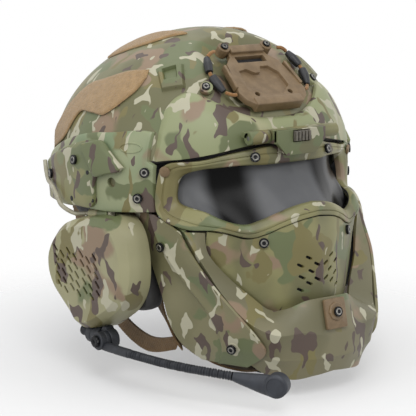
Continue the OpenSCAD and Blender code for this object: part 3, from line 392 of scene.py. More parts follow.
def add_mesh(name, solid, finish, body="helmet", nodes=(), bevel=0.0, cuts=None, smooth=38,
             rings=3):
    """Makes a piece from a solid in millimetres: cut, bevelled, painted and put on its body."""
    piece = raw_object(name, solid)
    tool = None
    if cuts is not None:
        tool = raw_object("cut", cuts, weld=False)
        cut = piece.modifiers.new("cut", "BOOLEAN")
        cut.object, cut.operation, cut.solver = tool, "DIFFERENCE", "EXACT"
    if bevel:
        round_edges = piece.modifiers.new("edges", "BEVEL")
        round_edges.width, round_edges.segments = bevel * MM, rings
        round_edges.limit_method, round_edges.angle_limit = "ANGLE", math.radians(32)
        round_edges.use_clamp_overlap = True
    if piece.modifiers:
        graph = bpy.context.evaluated_depsgraph_get()
        final = bpy.data.meshes.new_from_object(piece.evaluated_get(graph))
        piece.modifiers.clear()
        piece.data = final
        final.name = name
    if tool is not None:
        bpy.data.objects.remove(tool)
    piece.data.polygons.foreach_set("use_smooth", [True] * len(piece.data.polygons))
    piece.data.set_sharp_from_angle(angle=math.radians(smooth))
    piece.data.materials.clear()
    piece.data.materials.append(finish.material)
    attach(piece, body)
    if nodes:
        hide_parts(*([nodes] if isinstance(nodes, str) else nodes))
    return piece


half_width, reach_front, reach_rear, crown_height, low_height = 123.5, 102.5, 150.5, 111.5, 260
widest_y = -20
dome_middle = np.array([0, widest_y, 0])
plan_power, profile_power = 2.05, 1.9


def half_axes(y, z, lift):
    """Length and height of the quarter of the dome that holds (y, z)."""
    return (np.where(y < widest_y, reach_front, reach_rear) + lift,
            np.where(z > 0, crown_height, low_height) + lift)


def on_dome(points, lift):
    """Points moved out of or into the dome until they lie lift above it."""
    p = np.array(points, float)
    L, H = half_axes(p[..., 1], p[..., 2], lift)
    plan = (np.abs(p[..., 0]) / (half_width + lift)) ** plan_power
    plan = plan + (np.abs(p[..., 1] - widest_y) / L) ** plan_power
    f = plan ** (profile_power / plan_power) + (np.abs(p[..., 2]) / H) ** profile_power
    return dome_middle + (p - dome_middle) * (f ** (-1 / profile_power))[..., None]


def side_point(y, z, lift, side):
    """Point of the dome seen from the side."""
    L, H = half_axes(y, z, lift)
    profile = np.maximum(0, 1 - (np.abs(z) / H) ** profile_power) ** (plan_power / profile_power)
    rest = np.maximum(0, profile - (np.abs(y - widest_y) / L) ** plan_power)
    return np.stack([side * (half_width + lift) * rest ** (1 / plan_power), y, z], axis=-1)


def front_point(x, z, lift):
    """Point of the dome seen from the front."""
    H = half_axes(widest_y, z, lift)[1]
    profile = np.maximum(0, 1 - (np.abs(z) / H) ** profile_power) ** (plan_power / profile_power)
    rest = np.maximum(0, profile - (np.abs(x) / (half_width + lift)) ** plan_power)
    return np.stack([x, widest_y - (reach_front + lift) * rest ** (1 / plan_power), z], axis=-1)


def fade(v, a, b):
    """0 before a and 1 after b, with a soft start and end."""
    t = np.clip((v - a) / (b - a), 0, 1)
    return t * t * (3 - 2 * t)


def dent(p):
    """Depth of the recess behind the shroud."""
    recess_depth = 9.5
    return (recess_depth * (1 - fade(np.abs(p[..., 0]), 26, 46)) * fade(p[..., 2], 50, 66)
            * fade(-p[..., 1], 44, 62))


rim_heights = [(0, 26), (35, 20), (55, 14), (68, -6), (78, -22), (100, -26), (118, -27), (135, -36),
               (150, -50), (165, -56), (180, -58)]


def dome_surface(lift, columns, rows):
    """Grid of the shell from its rim to near the crown, with the recess let in."""
    last_ring = 88.5
    turn = np.linspace(0, 360, columns, endpoint=False)
    folded = np.where(turn > 180, 360 - turn, turn)
    low = np.interp(folded, *zip(*rim_heights))
    e0 = np.sign(low) * np.degrees(np.arcsin((np.abs(low) / np.where(low > 0, crown_height, low_height))
                                             ** (profile_power / 2)))
    grid = []
    for t in np.linspace(0, 1, rows + 1):
        e = np.radians(e0 + (last_ring - e0) * t)
        a = np.radians(turn)
        level = np.cos(e) ** (2 / profile_power)
        L = np.where(np.cos(a) > 0, reach_front, reach_rear)
        H = np.where(e > 0, crown_height + lift, low_height)
        x = (half_width + lift) * level * np.sign(np.sin(a)) * np.abs(np.sin(a)) ** (2 / plan_power)
        y = widest_y - (L + lift) * level * np.sign(np.cos(a)) * np.abs(np.cos(a)) ** (2 / plan_power)
        z = H * np.sign(e) * np.abs(np.sin(e)) ** (2 / profile_power)
        grid.append(np.stack([x, y, z], axis=-1))
    grid = np.array(grid)
    return grid - dent(grid)[..., None] * unit(grid - dome_middle)


def cap(grid, pole):
    """Vertices and faces of a surface of closed rings that ends in a pole."""
    rows, cols = grid.shape[:2]
    verts = np.concatenate([grid.reshape(-1, 3), np.array([pole], float)])
    top = (rows - 1) * cols
    return verts, ring_faces(rows, cols) + [(top + j, top + (j + 1) % cols, rows * cols)
                                            for j in range(cols)]


def bowl_between(outer, inner, cols):
    """Closed solid between two caps, joined along their open rims of some columns."""
    o = len(outer[0])
    verts, faces = joined(outer, inner)
    return verts, faces + [(j, (j + 1) % cols, o + (j + 1) % cols, o + j) for j in range(cols)]


def dome_between(outer_lift, inner_lift, columns, rows, from_row=0):
    """Closed solid between two lifts of the dome."""
    outer, inner = (cap(dome_surface(lift, columns, rows)[from_row:],
                        (0, widest_y, crown_height + lift)) for lift in (outer_lift, inner_lift))
    return bowl_between(outer, inner, columns)


shell_wall, lining_gap, lining_t = 4, 0.25, 0.5
shell_columns, shell_rows = 240, 90
shell_film = camouflage("shell_film", "shell_camo", (40, 15, 70))
add_mesh("shell_skin", dome_between(0, -shell_wall, shell_columns, shell_rows), shell_film,
         nodes="shell", bevel=0.8)
liner_black = Finish("liner_black", paint(34, 34, 36), 0.8, "foam")
lining_lift = -shell_wall - lining_gap
add_mesh("shell_lining", dome_between(lining_lift, lining_lift - lining_t, 120, 40, 2), liner_black)
rim_trim = Finish("rim_trim", paint(52, 50, 44), 0.65, "black_plastic")
middle_rim = sum(dome_surface(lift, shell_columns, shell_rows)[0] for lift in (0, -shell_wall)) / 2
rim_r, rim_drop = 2.1, 0.3
add_mesh("shell_rim", tube(np.concatenate([middle_rim, middle_rim[:1]]) - [0, 0, rim_drop], rim_r, 10),
         rim_trim)

# Lugs: raised blocks moulded on the shell, one on each side of the crown, under the same film.
# Each has a square well sunk into its upper half.
RIGHT, LEFT = -1, 1
SIDES = ((RIGHT, "r"), (LEFT, "l"))


def lug(side):
    n, height, well_depth, root = 42, 3.5, 3.3, -1.0
    t = np.linspace(0, 1, n + 1)
    rear = ruled([(-74.6, -49.2, 80.7)], [(-81.2, -65.3, 65.8)], n)[:, 0]
    front = ruled([(-56, -60.8, 86.9)], [(-66.1, -77.2, 68.6)], n)[:, 0]
    grid = rear[:, None] * (1 - t)[None, :, None] + front[:, None] * t[None, :, None]
    u, v = np.meshgrid(t, t, indexing="ij")
    rise = np.minimum.reduce([fade(w, 0, 0.10) for w in (u, 1 - u, v, 1 - v)])
    well = np.minimum.reduce([fade(u, 0.10, 0.14), fade(0.60 - u, 0, 0.04), fade(v, 0.22, 0.26),
                              fade(0.74 - v, 0, 0.04)])
    top = on_dome(grid, height * rise - well_depth * well)
    return shell_between(flip(top, side), flip(on_dome(grid, root), side))


for side, tag in SIDES:
    add_mesh("shell_lug_" + tag, lug(side), shell_film)

# Brow cover: the moulded plate that wraps the front of the shell from one temple to the other. It
# swells softly in the middle, and its film is paler than the shell's.
cover_film = camouflage("cover_film", "cover_camo", (-60, 120, 20), base=(178, 176, 138),
                        second=(154, 160, 118))
temple_film = camouflage("temple_film", "cover_camo", (-60, 20, 20), base=(166, 170, 132),
                         second=(132, 148, 112))
cover_low, cover_high = 0.5, 3.5
brow_top = [(-94, 36), (-86, 52), (-76, 62), (-66, 66), (-57, 62), (-44, 54), (-24, 46.5), (0, 45)]
brow_low = [(-101, 14), (-95, 15), (-86, 16), (-75, 18), (-56, 22), (-40, 25), (-24, 27.5), (0, 27.5)]


def both_halves(half):
    """A curve of the right half, with its mirror image after it."""
    half = np.array(half, float)
    other = half[-2::-1].copy()
    other[:, 0] *= -1
    return np.concatenate([half, other])


rows = 24
grid = ruled(both_halves(curve(brow_top, 7)), both_halves(curve(brow_low, 7)), rows)
u, v = grid[..., 0], grid[..., 1]
down = np.linspace(0, 6, rows + 1)[:, None]
swell_rows = [1, 2.2, 3, 3.4, 3.6, 3.6, 3.4]
swell = np.interp(down, range(7), swell_rows) * (1 - 0.85 * fade(np.abs(u), 55, 95))
roll = 1.1 * fade(down, 0, 0.35) - 1.1
top = front_point(u, v, cover_high + swell + roll)
base = front_point(u, v, cover_low)
add_mesh("brow_plate", shell_between(top, base), cover_film, nodes="brow_cover", bevel=0.5)

# Side covers: moulded plates over the temples, screwed to the shell. Each has a step along its
# length and a round opening near the temple, and carries a rail on its rear half.
side_top = [(-76, 36), (-66, 37), (-44, 34), (-17, 31), (16, 22), (44, 11), (66, 0)]
side_step = [(-78, 13.5), (-66, 14), (-44, 12), (-17, 9), (16, 2), (44, -6), (66, -13)]
side_wide = [(-82.5, 10.5), (-68, 10.5), (-44, 9), (-17, 6), (16, -1), (44, -9), (66, -15)]
side_low = [(-82.5, -26.8), (-74, -27.4), (-47, -29.4), (-17, -30), (16, -33), (44, -35), (62, -36)]


def out_of_dome(y, z, side, lift=0.0):
    """Point over the dome at (y, z) seen from the side, and the outward direction there."""
    h = 0.5
    p = side_point(y, z, lift, side)
    n = unit(np.cross(side_point(y + h, z, lift, side) - p, side_point(y, z + h, lift, side) - p))
    return p, (n if n[0] * side > 0 else -n)


def side_sheet(bands, low, high, side, rounding):
    """Closed sheet with rounded edges through side view bands of (first edge, second edge, rows)."""
    grid = np.concatenate([ruled(curve(a, 6), curve(b, 6), n) for a, b, n in bands])
    y, z = grid[..., 0], grid[..., 1]
    edge = np.full(y.shape, float(high))
    edge[0] -= rounding
    edge[-1] -= rounding
    edge[:, 0] -= rounding
    edge[:, -1] -= rounding
    return shell_between(side_point(y, z, edge, side), side_point(y, z, low, side))


for side, tag in SIDES:
    p, n = out_of_dome(-51.5, -5, side, cover_high)
    hole = placed(slab(circle(4), -6, 6), p, n)
    add_mesh("temple_cover_" + tag, side_sheet([(side_top, side_step, 12), (side_wide, side_low, 18)],
                                               cover_low, cover_high, side, 0.5), temple_film,
             nodes="side_cover_" + tag, cuts=hole, bevel=0.25)

# Rail caps: the long moulded caps on the rear half of the side covers. A low wedge closes each at
# the front, black discs sit where the cap has holes and are painted shade for their dark, and an oval
# bead is moulded on the cover beside it.
rail_film = camouflage("rail_film", "rail_olive", (90, -40, 60), base=(144, 140, 94),
                       second=(124, 128, 86))
cap_top = [(-63, 8), (-52, 17), (-39, 26), (-28, 27), (-10, 23), (20, 13), (58, -2)]
cap_low = [(-61, 5.5), (-48, 1), (-37, -3), (-33, -26), (-10, -29), (20, -31), (54, -33)]
wedge_top = [(-65, 8.6), (-55, 17.5), (-45.5, 25.8), (-39.8, 28), (-30, 26), (-19, 22.9)]
wedge_low = [(-62, 4.7), (-51, 1.9), (-40, -0.9), (-34.5, 6), (-28, 13.5), (-20, 21)]
rail_hole_shades_at = [(-30, 1, 1.8, 7.3), (-34, -21.5, 1.7, 6.9), (-4.6, -24, 2.2, 7.3)]
for side, tag in SIDES:
    add_mesh("rail_" + tag, side_sheet([(cap_top, cap_low, 20)], 4.0, 7.4, side, 0.9), rail_film,
             nodes="rail_cap_" + tag, bevel=0.4)
    add_mesh("rail_wedge_" + tag, side_sheet([(wedge_top, wedge_low, 14)], 6.6, 10.2, side, 0.9),
             rail_film, bevel=0.4)
    # Black discs in the holes of the cap: painted shade for the dark of the holes.
    hole_shades = [placed(slab(circle(r, 24), -0.6, 0.35), *out_of_dome(y, z, side, lift))
            for y, z, r, lift in rail_hole_shades_at]
    add_mesh("rail_hole_shade_" + tag, joined(*hole_shades), liner_black, bevel=0.1)
    turn = np.linspace(0, 2 * math.pi, 49)
    bead = side_point(-65 + 8.2 * np.cos(turn), 23.6 + 3.7 * np.sin(turn), cover_high, side)
    add_mesh("cover_bead_" + tag, tube(bead, 0.7, 8), temple_film, smooth=60)

# Screws: button heads in black oxide with worn spots, each with a bright ring round a hex socket. The
# bright ring is a painted highlight for the light on the round of the head. The heads are CAD solids,
# and the rings and sockets take their places from them. Two plugs cover the upper corner screws of
# the mask frame, and come in the shroud's section.
screw_black = Finish("screw_black", paint(30, 31, 33), 0.38, "black_screws", Metallic=0.75)
point = screw_black.place()
wear = screw_black.step(screw_black.noise(point, 1.6, 4.0), 0.66, 0.08)
screw_black.colour(screw_black.mix(wear, paint(24, 25, 27), paint(112, 112, 112)))
screw_black.roughness(0.30 + 0.3 * screw_black.noise(point, 2.5, 3.0))
screw_black.bump(screw_black.noise(point, 0.6, 2.0), 0.03)


def plastic(name, colour, spread, rough=0.5, size=7.0, depth=0.05, grain=0.8, slot=None, **sockets):
    """Moulded plastic or rubber: its colour drifts a little, and its skin is finely grained."""
    made = Finish(name, colour, rough, slot, **sockets)
    point = made.place()
    cloud = made.noise(point, size, 4.0, 0.55)
    speck = made.noise(point, grain, 2.0)
    made.colour(made.mix(made.step(cloud, 0.5, 0.25), colour, spread))
    made.roughness(rough - 0.08 + 0.16 * cloud)
    made.bump(speck, depth)
    return made


def fabric(name, colour, spread, pitch, depth, fuzz, slot=None):
    """Knitted cover or loop pile: a fine crossed weave under a cloudy nap."""
    made = Finish(name, colour, 0.95, slot, Sheen_Weight=fuzz, Sheen_Roughness=0.5)
    point = made.place()
    nap = made.noise(point, 5.5, 5.0, 0.65)
    fibre = made.noise(point, pitch * 0.55, 3.0, 0.6)
    knit = made.node("ShaderNodeTexVoronoi", {"feature": "F1"}, {"Vector": point, "Scale": 1 / pitch})
    shade = made.step(nap, 0.5, 0.22)
    made.colour(made.mix(0.6 * shade + 0.4 * fibre, colour, spread))
    made.bump(knit + 0.8 * fibre, depth)
    return made


# Pale metallic colour of the rings: a painted highlight on the screw heads.
screw_highlight = plastic("screw_highlight", paint(150, 148, 142), paint(104, 102, 98), 0.34, 1.5, 0.03,
                       slot="black_screws", Metallic=0.85)


def dress(node, finish):
    """Puts a finish on a CAD node that keeps its own shape."""
    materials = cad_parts[node].data.materials
    materials.clear()
    materials.append(finish.material)


def screws_of(node):
    """Top centre, outward direction and radius of every screw in a node, read off its own solids."""
    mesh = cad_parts[node].data
    wearer, head_slice = [0, -50, -20], 0.4
    place = {}
    name_of = [place.setdefault(tuple(round(c / MM, 2) for c in v.co), len(place))
               for v in mesh.vertices]
    chief = list(range(len(place)))

    def top_of(i):
        while chief[i] != i:
            i = chief[i]
        return i

    for face in mesh.polygons:
        first = top_of(name_of[face.vertices[0]])
        for v in face.vertices:
            chief[top_of(name_of[v])] = first
    solids = {}
    for where, i in place.items():
        solids.setdefault(top_of(i), []).append(where)
    found = []
    for points in solids.values():
        points = np.array(points)
        middle = (points.min(axis=0) + points.max(axis=0)) / 2
        sizes, ways = np.linalg.svd(points - middle, full_matrices=False)[1:]
        gaps = [abs(sizes[1] - sizes[2]), abs(sizes[0] - sizes[2]), abs(sizes[0] - sizes[1])]
        way = ways[int(np.argmin(gaps))]
        way = way * np.sign(way.dot(middle - wearer))
        along = (points - middle).dot(way)
        head = points[along > along.max() - head_slice]
        centre = head.mean(axis=0)
        found.append((centre, way, np.linalg.norm(head - centre, axis=1).max()))
    return found


corner_heads = []
for node, body in (("side_screws", "helmet"), ("shroud_screws", "helmet"),
                   ("mask_screws", "face_mask")):
    dress(node, screw_black)
    rings, sockets = [], []
    for centre, way, r in screws_of(node):
        if body == "face_mask" and abs(centre[0]) > 85 and centre[2] > 0:
            corner_heads.append((centre, way, r))
            continue
        ring = [(0.42 * r, -0.3), (0.42 * r, 0.28), (0.52 * r, 0.36), (0.66 * r, 0.3), (0.74 * r, -0.3)]
        rings.append(placed(lathe(ring + ring[:1], 32), centre, way))
        sockets.append(placed(lathe([(0.001, -0.2), (0.44 * r, -0.2), (0.44 * r, 0.12), (0.001, 0.02)],
                                    6), centre, way))
    add_mesh(node + "_rings", joined(*rings), screw_highlight, body)
    add_mesh(node + "_sockets", joined(*sockets), screw_black, body, smooth=10)

# Loop patches: tan loop pile with rolled edges, cut to shape and glued on the crown, the sides and
# the back of the shell.
loop_pile = fabric("loop_pile", paint(196, 162, 116), paint(162, 132, 92), 1.0, 0.5, 0.35,
                   "loop_fabric")


def top_point(x, y, lift):
    """Point of the dome seen from above."""
    L = half_axes(y, 1, lift)[0]
    rest = 1 - ((np.abs(x) / (half_width + lift)) ** plan_power
                + (np.abs(y - widest_y) / L) ** plan_power) ** (profile_power / plan_power)
    return np.stack([x, y, (crown_height + lift) * np.maximum(0, rest) ** (1 / profile_power)], axis=-1)


def pile_patch(name, node, first, second, place):
    """Patch with rolled edges and a nap in its surface."""
    grid = ruled(curve(first, 9), curve(second, 9), 34)
    u, v = grid[..., 0], grid[..., 1]
    pile, backing = 2.3, 0.5
    lift = np.full(u.shape, pile)
    for k, drop in ((0, 1.0), (1, 0.35)):
        lift[k] = lift[-1 - k] = pile - drop
        lift[:, k] = lift[:, -1 - k] = pile - drop
    ripple = 0.16 * np.sin(u * 2.3 + v * 1.7) * np.sin(u * 1.1 - v * 2.9)
    solid = shell_between(place(u, v, lift + ripple), place(u, v, backing))
    add_mesh(name, solid, loop_pile, nodes=node, smooth=60)


def back_point(x, z, lift):
    """Point of the dome seen from behind."""
    return on_dome(np.stack([x, 130 + 0 * x, z], axis=-1), lift)


for side, tag in SIDES:
    pile_patch("loop_crown_" + tag, "loop_top_" + tag,
               [(side * 30, -30), (side * 30, 0), (side * 32, 30), (side * 34, 52)],
               [(side * 38, -22), (side * 54, -6), (side * 62, 18), (side * 62, 42)], top_point)
    pile_patch("loop_flank_" + tag, "loop_side_" + tag,
               [(-42, 82), (-24, 80), (2, 72), (22, 66), (40, 52), (56, 34), (66, 22)],
               [(-46, 76), (-45, 64), (-28, 47), (-8, 46), (12, 44), (28, 22), (52, 10)],
               lambda y, z, lift, side=side: side_point(y, z, lift, side))
across = range(-52, 53, 13)
pile_patch("loop_back", "loop_rear", [(x, 74 - x * x / 260) for x in across],
           [(x, 34 - x * x / 400) for x in across], back_point)

# Accessory shroud: a moulded tan bracket, leaned back in the shell's recess and screwed down. It has
# an open window, a slot over a black sheet that is painted shade for the dark of the slot, a bar at its
# foot and a bumper on each side. The plugs at the upper corners of the mask frame are of the same
# plastic.
tan_polymer = plastic("tan_polymer", paint(138, 115, 84), paint(116, 95, 68), 0.46, 9.0, 0.05,
                      slot="tan_hardware")
plugs = [placed(lathe([(1.06 * r, -1.6), (1.06 * r, 0.2), (0.85 * r, 0.7), (0.001, 0.75)], 32), centre,
                way) for centre, way, r in corner_heads]
add_mesh("corner_plugs", joined(*plugs), tan_polymer, "face_mask")
shroud_foot = on_dome(np.array([0, -115.9, 57.5]), 8.77)
shroud_peak = on_dome(np.array([0, -66.2, 97.8]), -0.05)
lean = math.degrees(math.atan2(shroud_peak[1] - shroud_foot[1], shroud_peak[2] - shroud_foot[2]))
on_brow = pose(shroud_foot, ("X", 90 - lean))
shroud_t = 5.5
shroud_edge = [(-24, -1), (24, -1), (31, 5), (34, 13), (32, 24), (27, 46), (20, 53), (17, 64),
               (-17, 64), (-20, 53), (-27, 46), (-32, 24), (-34, 13), (-31, 5)]
window = [(-9, 9), (9, 9), (20, 18), (19, 33), (12, 41), (4, 41), (0, 34), (-5, 34), (-12, 39),
          (-20, 37), (-22, 20)]


def brow_piece(solid, at=(0, 0, 0), turn=0.0):
    """Solid in the shroud's own frame, whose +Z leaves the shell."""
    return placed(solid, matrix=on_brow @ pose(at, ("Z", turn)))


bolt_r, bolt_x, bolt_y = 2.25, 17, 10.5
bolt_holes = joined(*[brow_piece(slab(circle(bolt_r), -12, 8), (x, bolt_y, 0))
                      for x in (-bolt_x, bolt_x)])
holes = joined(brow_piece(slab(window, -3.5, 2)), brow_piece(block((-15, 46.5, -9), (15, 53.5, 5))),
               bolt_holes)
add_mesh("shroud_plate", brow_piece(slab(shroud_edge, -shroud_t, 0)), tan_polymer, nodes="shroud",
         cuts=holes, bevel=0.6)
add_mesh("shroud_bar", brow_piece(block((-24, -2, -8.5), (24, 6.5, 1.2))), tan_polymer, cuts=bolt_holes,
         bevel=1.2)
# Black sheet under the slot: painted shade, so that the slot reads dark.
add_mesh("shroud_slot_painted_shade", brow_piece(block((-16, 46, -5.4), (16, 54, -4.4))), liner_black,
         bevel=0.2)
add_mesh("shroud_bridge", brow_piece(block((-17, 56, -shroud_t), (17, 64, 3))), tan_polymer, bevel=1.0)
for side, tag in SIDES:
    add_mesh("shroud_boss_" + tag, brow_piece(slab(circle(5.2), -shroud_t, 3.2), (side * 22, 62, 0)),
             tan_polymer, bevel=0.6)
    add_mesh("shroud_bumper_" + tag, brow_piece(block((-1.3, -13, -3), (1.3, 13, 3)),
                                                (side * 32.2, 31, -1.5), side * 5), tan_polymer,
             bevel=0.8)

# Seat of the shroud: the moulded plate between the bracket and the shell's recess, and the round
# bosses beside it that carry the lower screws.
seat_half, seat_gap, seat_low = 27, 0.4, 2.5
rows = []
for y in (9, 18, 27, 36, 45, 54, 61):
    k = 1 - max(0, abs(y - 22) - 10) / 50
    rows.append([tuple(on_brow @ Vector((x * k, y, -shroud_t - seat_gap)))
                 for x in np.linspace(-seat_half, seat_half, 25)])
tops = loft(rows, 4)
recess = on_dome(tops, 0)
base = on_dome(tops, seat_low) - dent(recess)[..., None] * unit(recess - dome_middle)
add_mesh("shroud_seat", shell_between(tops, base), cover_film, nodes="shroud_base", bevel=0.3)


def dome_direction(p):
    """Outward direction of the dome at a point."""
    def level(q):
        return np.linalg.norm(q - dome_middle) / np.linalg.norm(on_dome(q, 0) - dome_middle)

    return unit(np.array([level(p + step) for step in 0.5 * np.eye(3)]) - level(p))


for side, tag in SIDES:
    q = on_dome(np.array([side * 53, -86.5, 67.5]), 0.8)
    add_mesh("shell_boss_" + tag, placed(slab(circle(5.2), 0, 4.4), q, dome_direction(q)), cover_film,
             bevel=0.5)

# Hooks and cords: black moulded hooks beside the shroud, which short loops of tan elastic cord tie to
# it. On the helmet they hold an accessory down.
hook_lift = 4.4
black_plastic = plastic("black_plastic", paint(24, 25, 27), paint(36, 37, 40), 0.45, 6.0, 0.04)
tan_cord = fabric("tan_cord", paint(184, 136, 84), paint(142, 100, 58), 0.6, 0.3, 0.3)
hook_routes = [([(-40, -70, 87), (-42.5, -75, 83), (-45, -80, 77.5)], (2.4, 3.8, 3.2)),
               ([(-44.8, -83.5, 74), (-43.8, -88.5, 69.5), (-41.5, -94, 63.5)], (3.6, 3.9, 2.4))]
tie = on_dome([(-45, -80.6, 76.9), (-44.9, -81.8, 75.7), (-44.85, -82.9, 74.6)], hook_lift)
cord_routes = [(tie, 1.6),
               ([(-42.6, -98.6, 65.9), (-39, -102.6, 64.3), (-35.3, -103.6, 64)], 1.5),
               ([(-41.2, -72.4, 92.6), (-37, -72, 95.4), (-32.8, -70.5, 96)], 1.5)]
for side, tag in SIDES:
    hooks = []
    for route, radii in hook_routes:
        thickness = np.interp(np.linspace(0, 2, 17), [0, 1, 2], radii)
        hooks.append(tube(flip(curve(on_dome(route, hook_lift), 8), side), thickness, 20))
    add_mesh("cord_hook_" + tag, joined(*hooks), black_plastic,
             nodes="bungee_clips" if side < 0 else (), bevel=0.5)
    loops = [tube(flip(curve(route, 6), side), r, 12) for route, r in cord_routes]
    add_mesh("cord_loop_" + tag, joined(*loops), tan_cord, nodes="bungee_cords" if side < 0 else ())

# Liner pads: crowned foam cushions in a dark knitted cover, stuck inside the shell at the brow, the
# nape, the crown and the temples.
pad_cover = fabric("pad_cover", paint(52, 52, 55), paint(34, 34, 36), 1.2, 0.3, 0.4, "foam")


def cushion(name, node, body, solid, finish=pad_cover, bevel=1.6):
    """Pad with rolled edges."""
    piece = add_mesh(name, solid, finish, body, nodes=node, bevel=bevel, smooth=75, rings=4)


def liner(name, node, first, second, place):
    """Cushion under the dome, between two edges seen from one side, thickest in its middle."""
    pad_t, glue = 16, 1.2
    grid = ruled(first, second, 24)
    rows, cols = grid.shape[:2]
    u = np.sin(math.pi * np.linspace(0, 1, rows))[:, None]
    v = np.sin(math.pi * np.linspace(0, 1, cols))[None, :]
    crown = pad_t * (0.5 + 0.5 * np.maximum(0, u * v) ** 0.35) - 0.4
    points = place(grid[..., 0], grid[..., 1])
    cushion(name, node, "helmet", shell_between(on_dome(points, -shell_wall - glue),
                                                on_dome(points, -shell_wall - 1.0 - crown)))


def stacked(x, y, z):
    """Grid of points from coordinates of any matching shapes."""
    return np.stack(np.broadcast_arrays(x, y, z), axis=-1).astype(float)


def line(a, b):
    """Evenly spaced points from a to b."""
    return np.array([np.array(a) * (1 - t) + np.array(b) * t for t in np.linspace(0, 1, 41)], float)


liner("brow_cushion", "pad_front", line((-60, 49), (60, 49)), line((-66, 24), (66, 24)),
      lambda x, z: stacked(x, -110, z))
liner("nape_cushion", "pad_rear", line((-60, 44), (60, 44)), line((-60, -4), (60, -4)),
      lambda x, z: stacked(x, 120, z))
liner("crown_cushion", "pad_crown", line((-50, -42), (50, -42)), line((-50, 56), (50, 56)),
      lambda x, y: stacked(x, y, 105))
for side, tag in SIDES:
    liner("temple_cushion_" + tag, "pad_side_" + tag, line((-54, 58), (66, 58)),
          line((-54, 16), (66, 16)), lambda y, z, side=side: stacked(side * 110, y, z))

# Rim skirts: folds of the same knit that hang inside the rim at the temples, over the ears and
# behind the hinges of the ear cups, and close the view into the shell. Their dark knit is partly the
# liner that is there and partly painted shade for the dark gaps at the rim.
knit_t = 1.1
front_skirt = [[(-113, -50, -16), (-108, -61, -8), (-104, -72, -2)],
               [(-96.5, -52, -24), (-95.5, -64, -22), (-94.5, -76, -20)],
               [(-94, -52, -41), (-93, -64, -40), (-92.5, -76.5, -39)]]
rear_skirt = [[(-117, -2, -24), (-116, 12, -25), (-113.5, 27, -26)],
              [(-110, -9, -34), (-109, 12, -35), (-107, 27, -35)],
              [(-101.5, -11, -42.5), (-101, 12, -45), (-100, 27, -45)]]
ear_skirt = [[(-108, -13, -3), (-108, -32, -3), (-108, -52, -3)],
             [(-96, -13, -15), (-96, -32, -15), (-96, -52, -15)],
             [(-87, -13, -27), (-87, -32, -27), (-87, -52, -27)],
             [(-86, -13, -42), (-86, -32, -42), (-86, -52, -42)]]
for side, tag in SIDES:
    folds = []
    for rows in (front_skirt, ear_skirt, rear_skirt):
        grid = flip(loft([curve(row, 6) for row in rows], 6), side)
        folds.append(shell_between(grid, grid + [side * knit_t, 0, 0]))
    add_mesh("rim_skirt_" + tag, joined(*folds), pad_cover, smooth=70)

# Fit band: a moulded strip round the back of the head, grooved along its middle and hung on two tabs
# from the shell. A cushion rests on the nape, and a dial in a round housing behind it draws the band
# tight.
band_plastic = plastic("band_plastic", paint(40, 41, 44), paint(54, 55, 58), 0.5, 8.0, 0.04)
band_z, band_h, band_t = -24, 22, 2.4
band_half_w, band_half_l, band_y = 88, 96, 4


def band_point(degrees, z, inset):
    """Point of the band at an angle from the face and a height, some way inside its outer line."""
    a = np.radians(degrees)
    return stacked((band_half_w - inset) * np.sin(a), band_y - (band_half_l - inset) * np.cos(a), z)


turn = np.linspace(84, 276, 97)[None, :]
heights = np.linspace(band_z - band_h / 2, band_z + band_h / 2, 9)[:, None]
groove = 0.35 * (np.abs(heights - band_z) < 6)
add_mesh("band_strip", shell_between(band_point(turn, heights, groove),
                                     band_point(turn, heights, band_t)), band_plastic, nodes="fit_band",
         bevel=0.6)
tab_line = curve([(-86.5, -5, -30), (-98, -6.5, -29), (-110, -8, -23), (-117.8, -9, -15)], 8)
for side, tag in SIDES:
    strip = np.array([flip(tab_line + [0, 0, h], side) for h in np.linspace(0, 9, 5)])
    add_mesh("band_tab_" + tag, shell_between(strip, strip + [0.8, -band_t * 0.9, 0]), band_plastic,
             bevel=0.5)
turn = np.linspace(150, 210, 49)[None, :]
t = np.linspace(0, 1, 25)[:, None]
across = np.sin(math.pi * np.linspace(0, 1, 49))[None, :]
swell = 5 + 6 * np.maximum(0, np.sin(math.pi * t) * across) ** 0.4
heights = band_z - 17 + 34 * t
cushion("nape_rest", "nape_pad", "helmet", shell_between(band_point(turn, heights, band_t + 1.2),
                                                         band_point(turn, heights, band_t + 1 + swell)))
for node in ("dial_housing", "fit_dial", "speaker_r", "speaker_l"):
    dress(node, band_plastic)

# Chin straps: brown webbing, sewn together where the front and rear webs meet below the ear, and
# joined by a buckle under the chin. The ribs are in the mesh, at the pitch of a coarse weave.
webbing = fabric("webbing", paint(140, 112, 74), paint(106, 82, 52), 0.9, 0.35, 0.3)
web_w, web_t, web_pitch = 18, 1.6, 2.3
strap_front = [side_point(-35.5, -2, -7.6, RIGHT), side_point(-36.5, -12, -7.73, RIGHT),
               (-106.5, -38, -23), (-95.5, -42, -38), (-85, -54, -58), (-83, -54, -82),
               (-80.5, -58, -110), (-76.5, -68, -130), (-73, -78, -140)]
wide_front = [(-0.2, 1, 0), (-0.2, 1, 0), (0, 1, 0), (0, 1, 0.1), (0, 1, 0.2), (0.1, 1, 0.2),
              (0.2, 1, 0.3), (0.3, 0.9, 0.5), (0.4, 0.8, 0.6)]
strap_rear = [side_point(40, -12, -9, RIGHT), side_point(40, -24, -9.23, RIGHT), (-97, 38.5, -44),
              (-91, 25, -88), (-87, -4, -128), (-81, -42, -147), (-73, -75, -141)]
wide_rear = [(0.25, 1, 0), (0.25, 1, -0.1), (0.2, 0.95, -0.3), (0.1, 0.9, -0.5), (0.1, 0.8, -0.6),
             (0.1, 0.6, -0.8), (0.1, 0.6, -0.8)]
strap_chin = [(-71, -80, -141), (-54, -88, -156), (-30, -93, -166), (-12.5, -95, -169)]


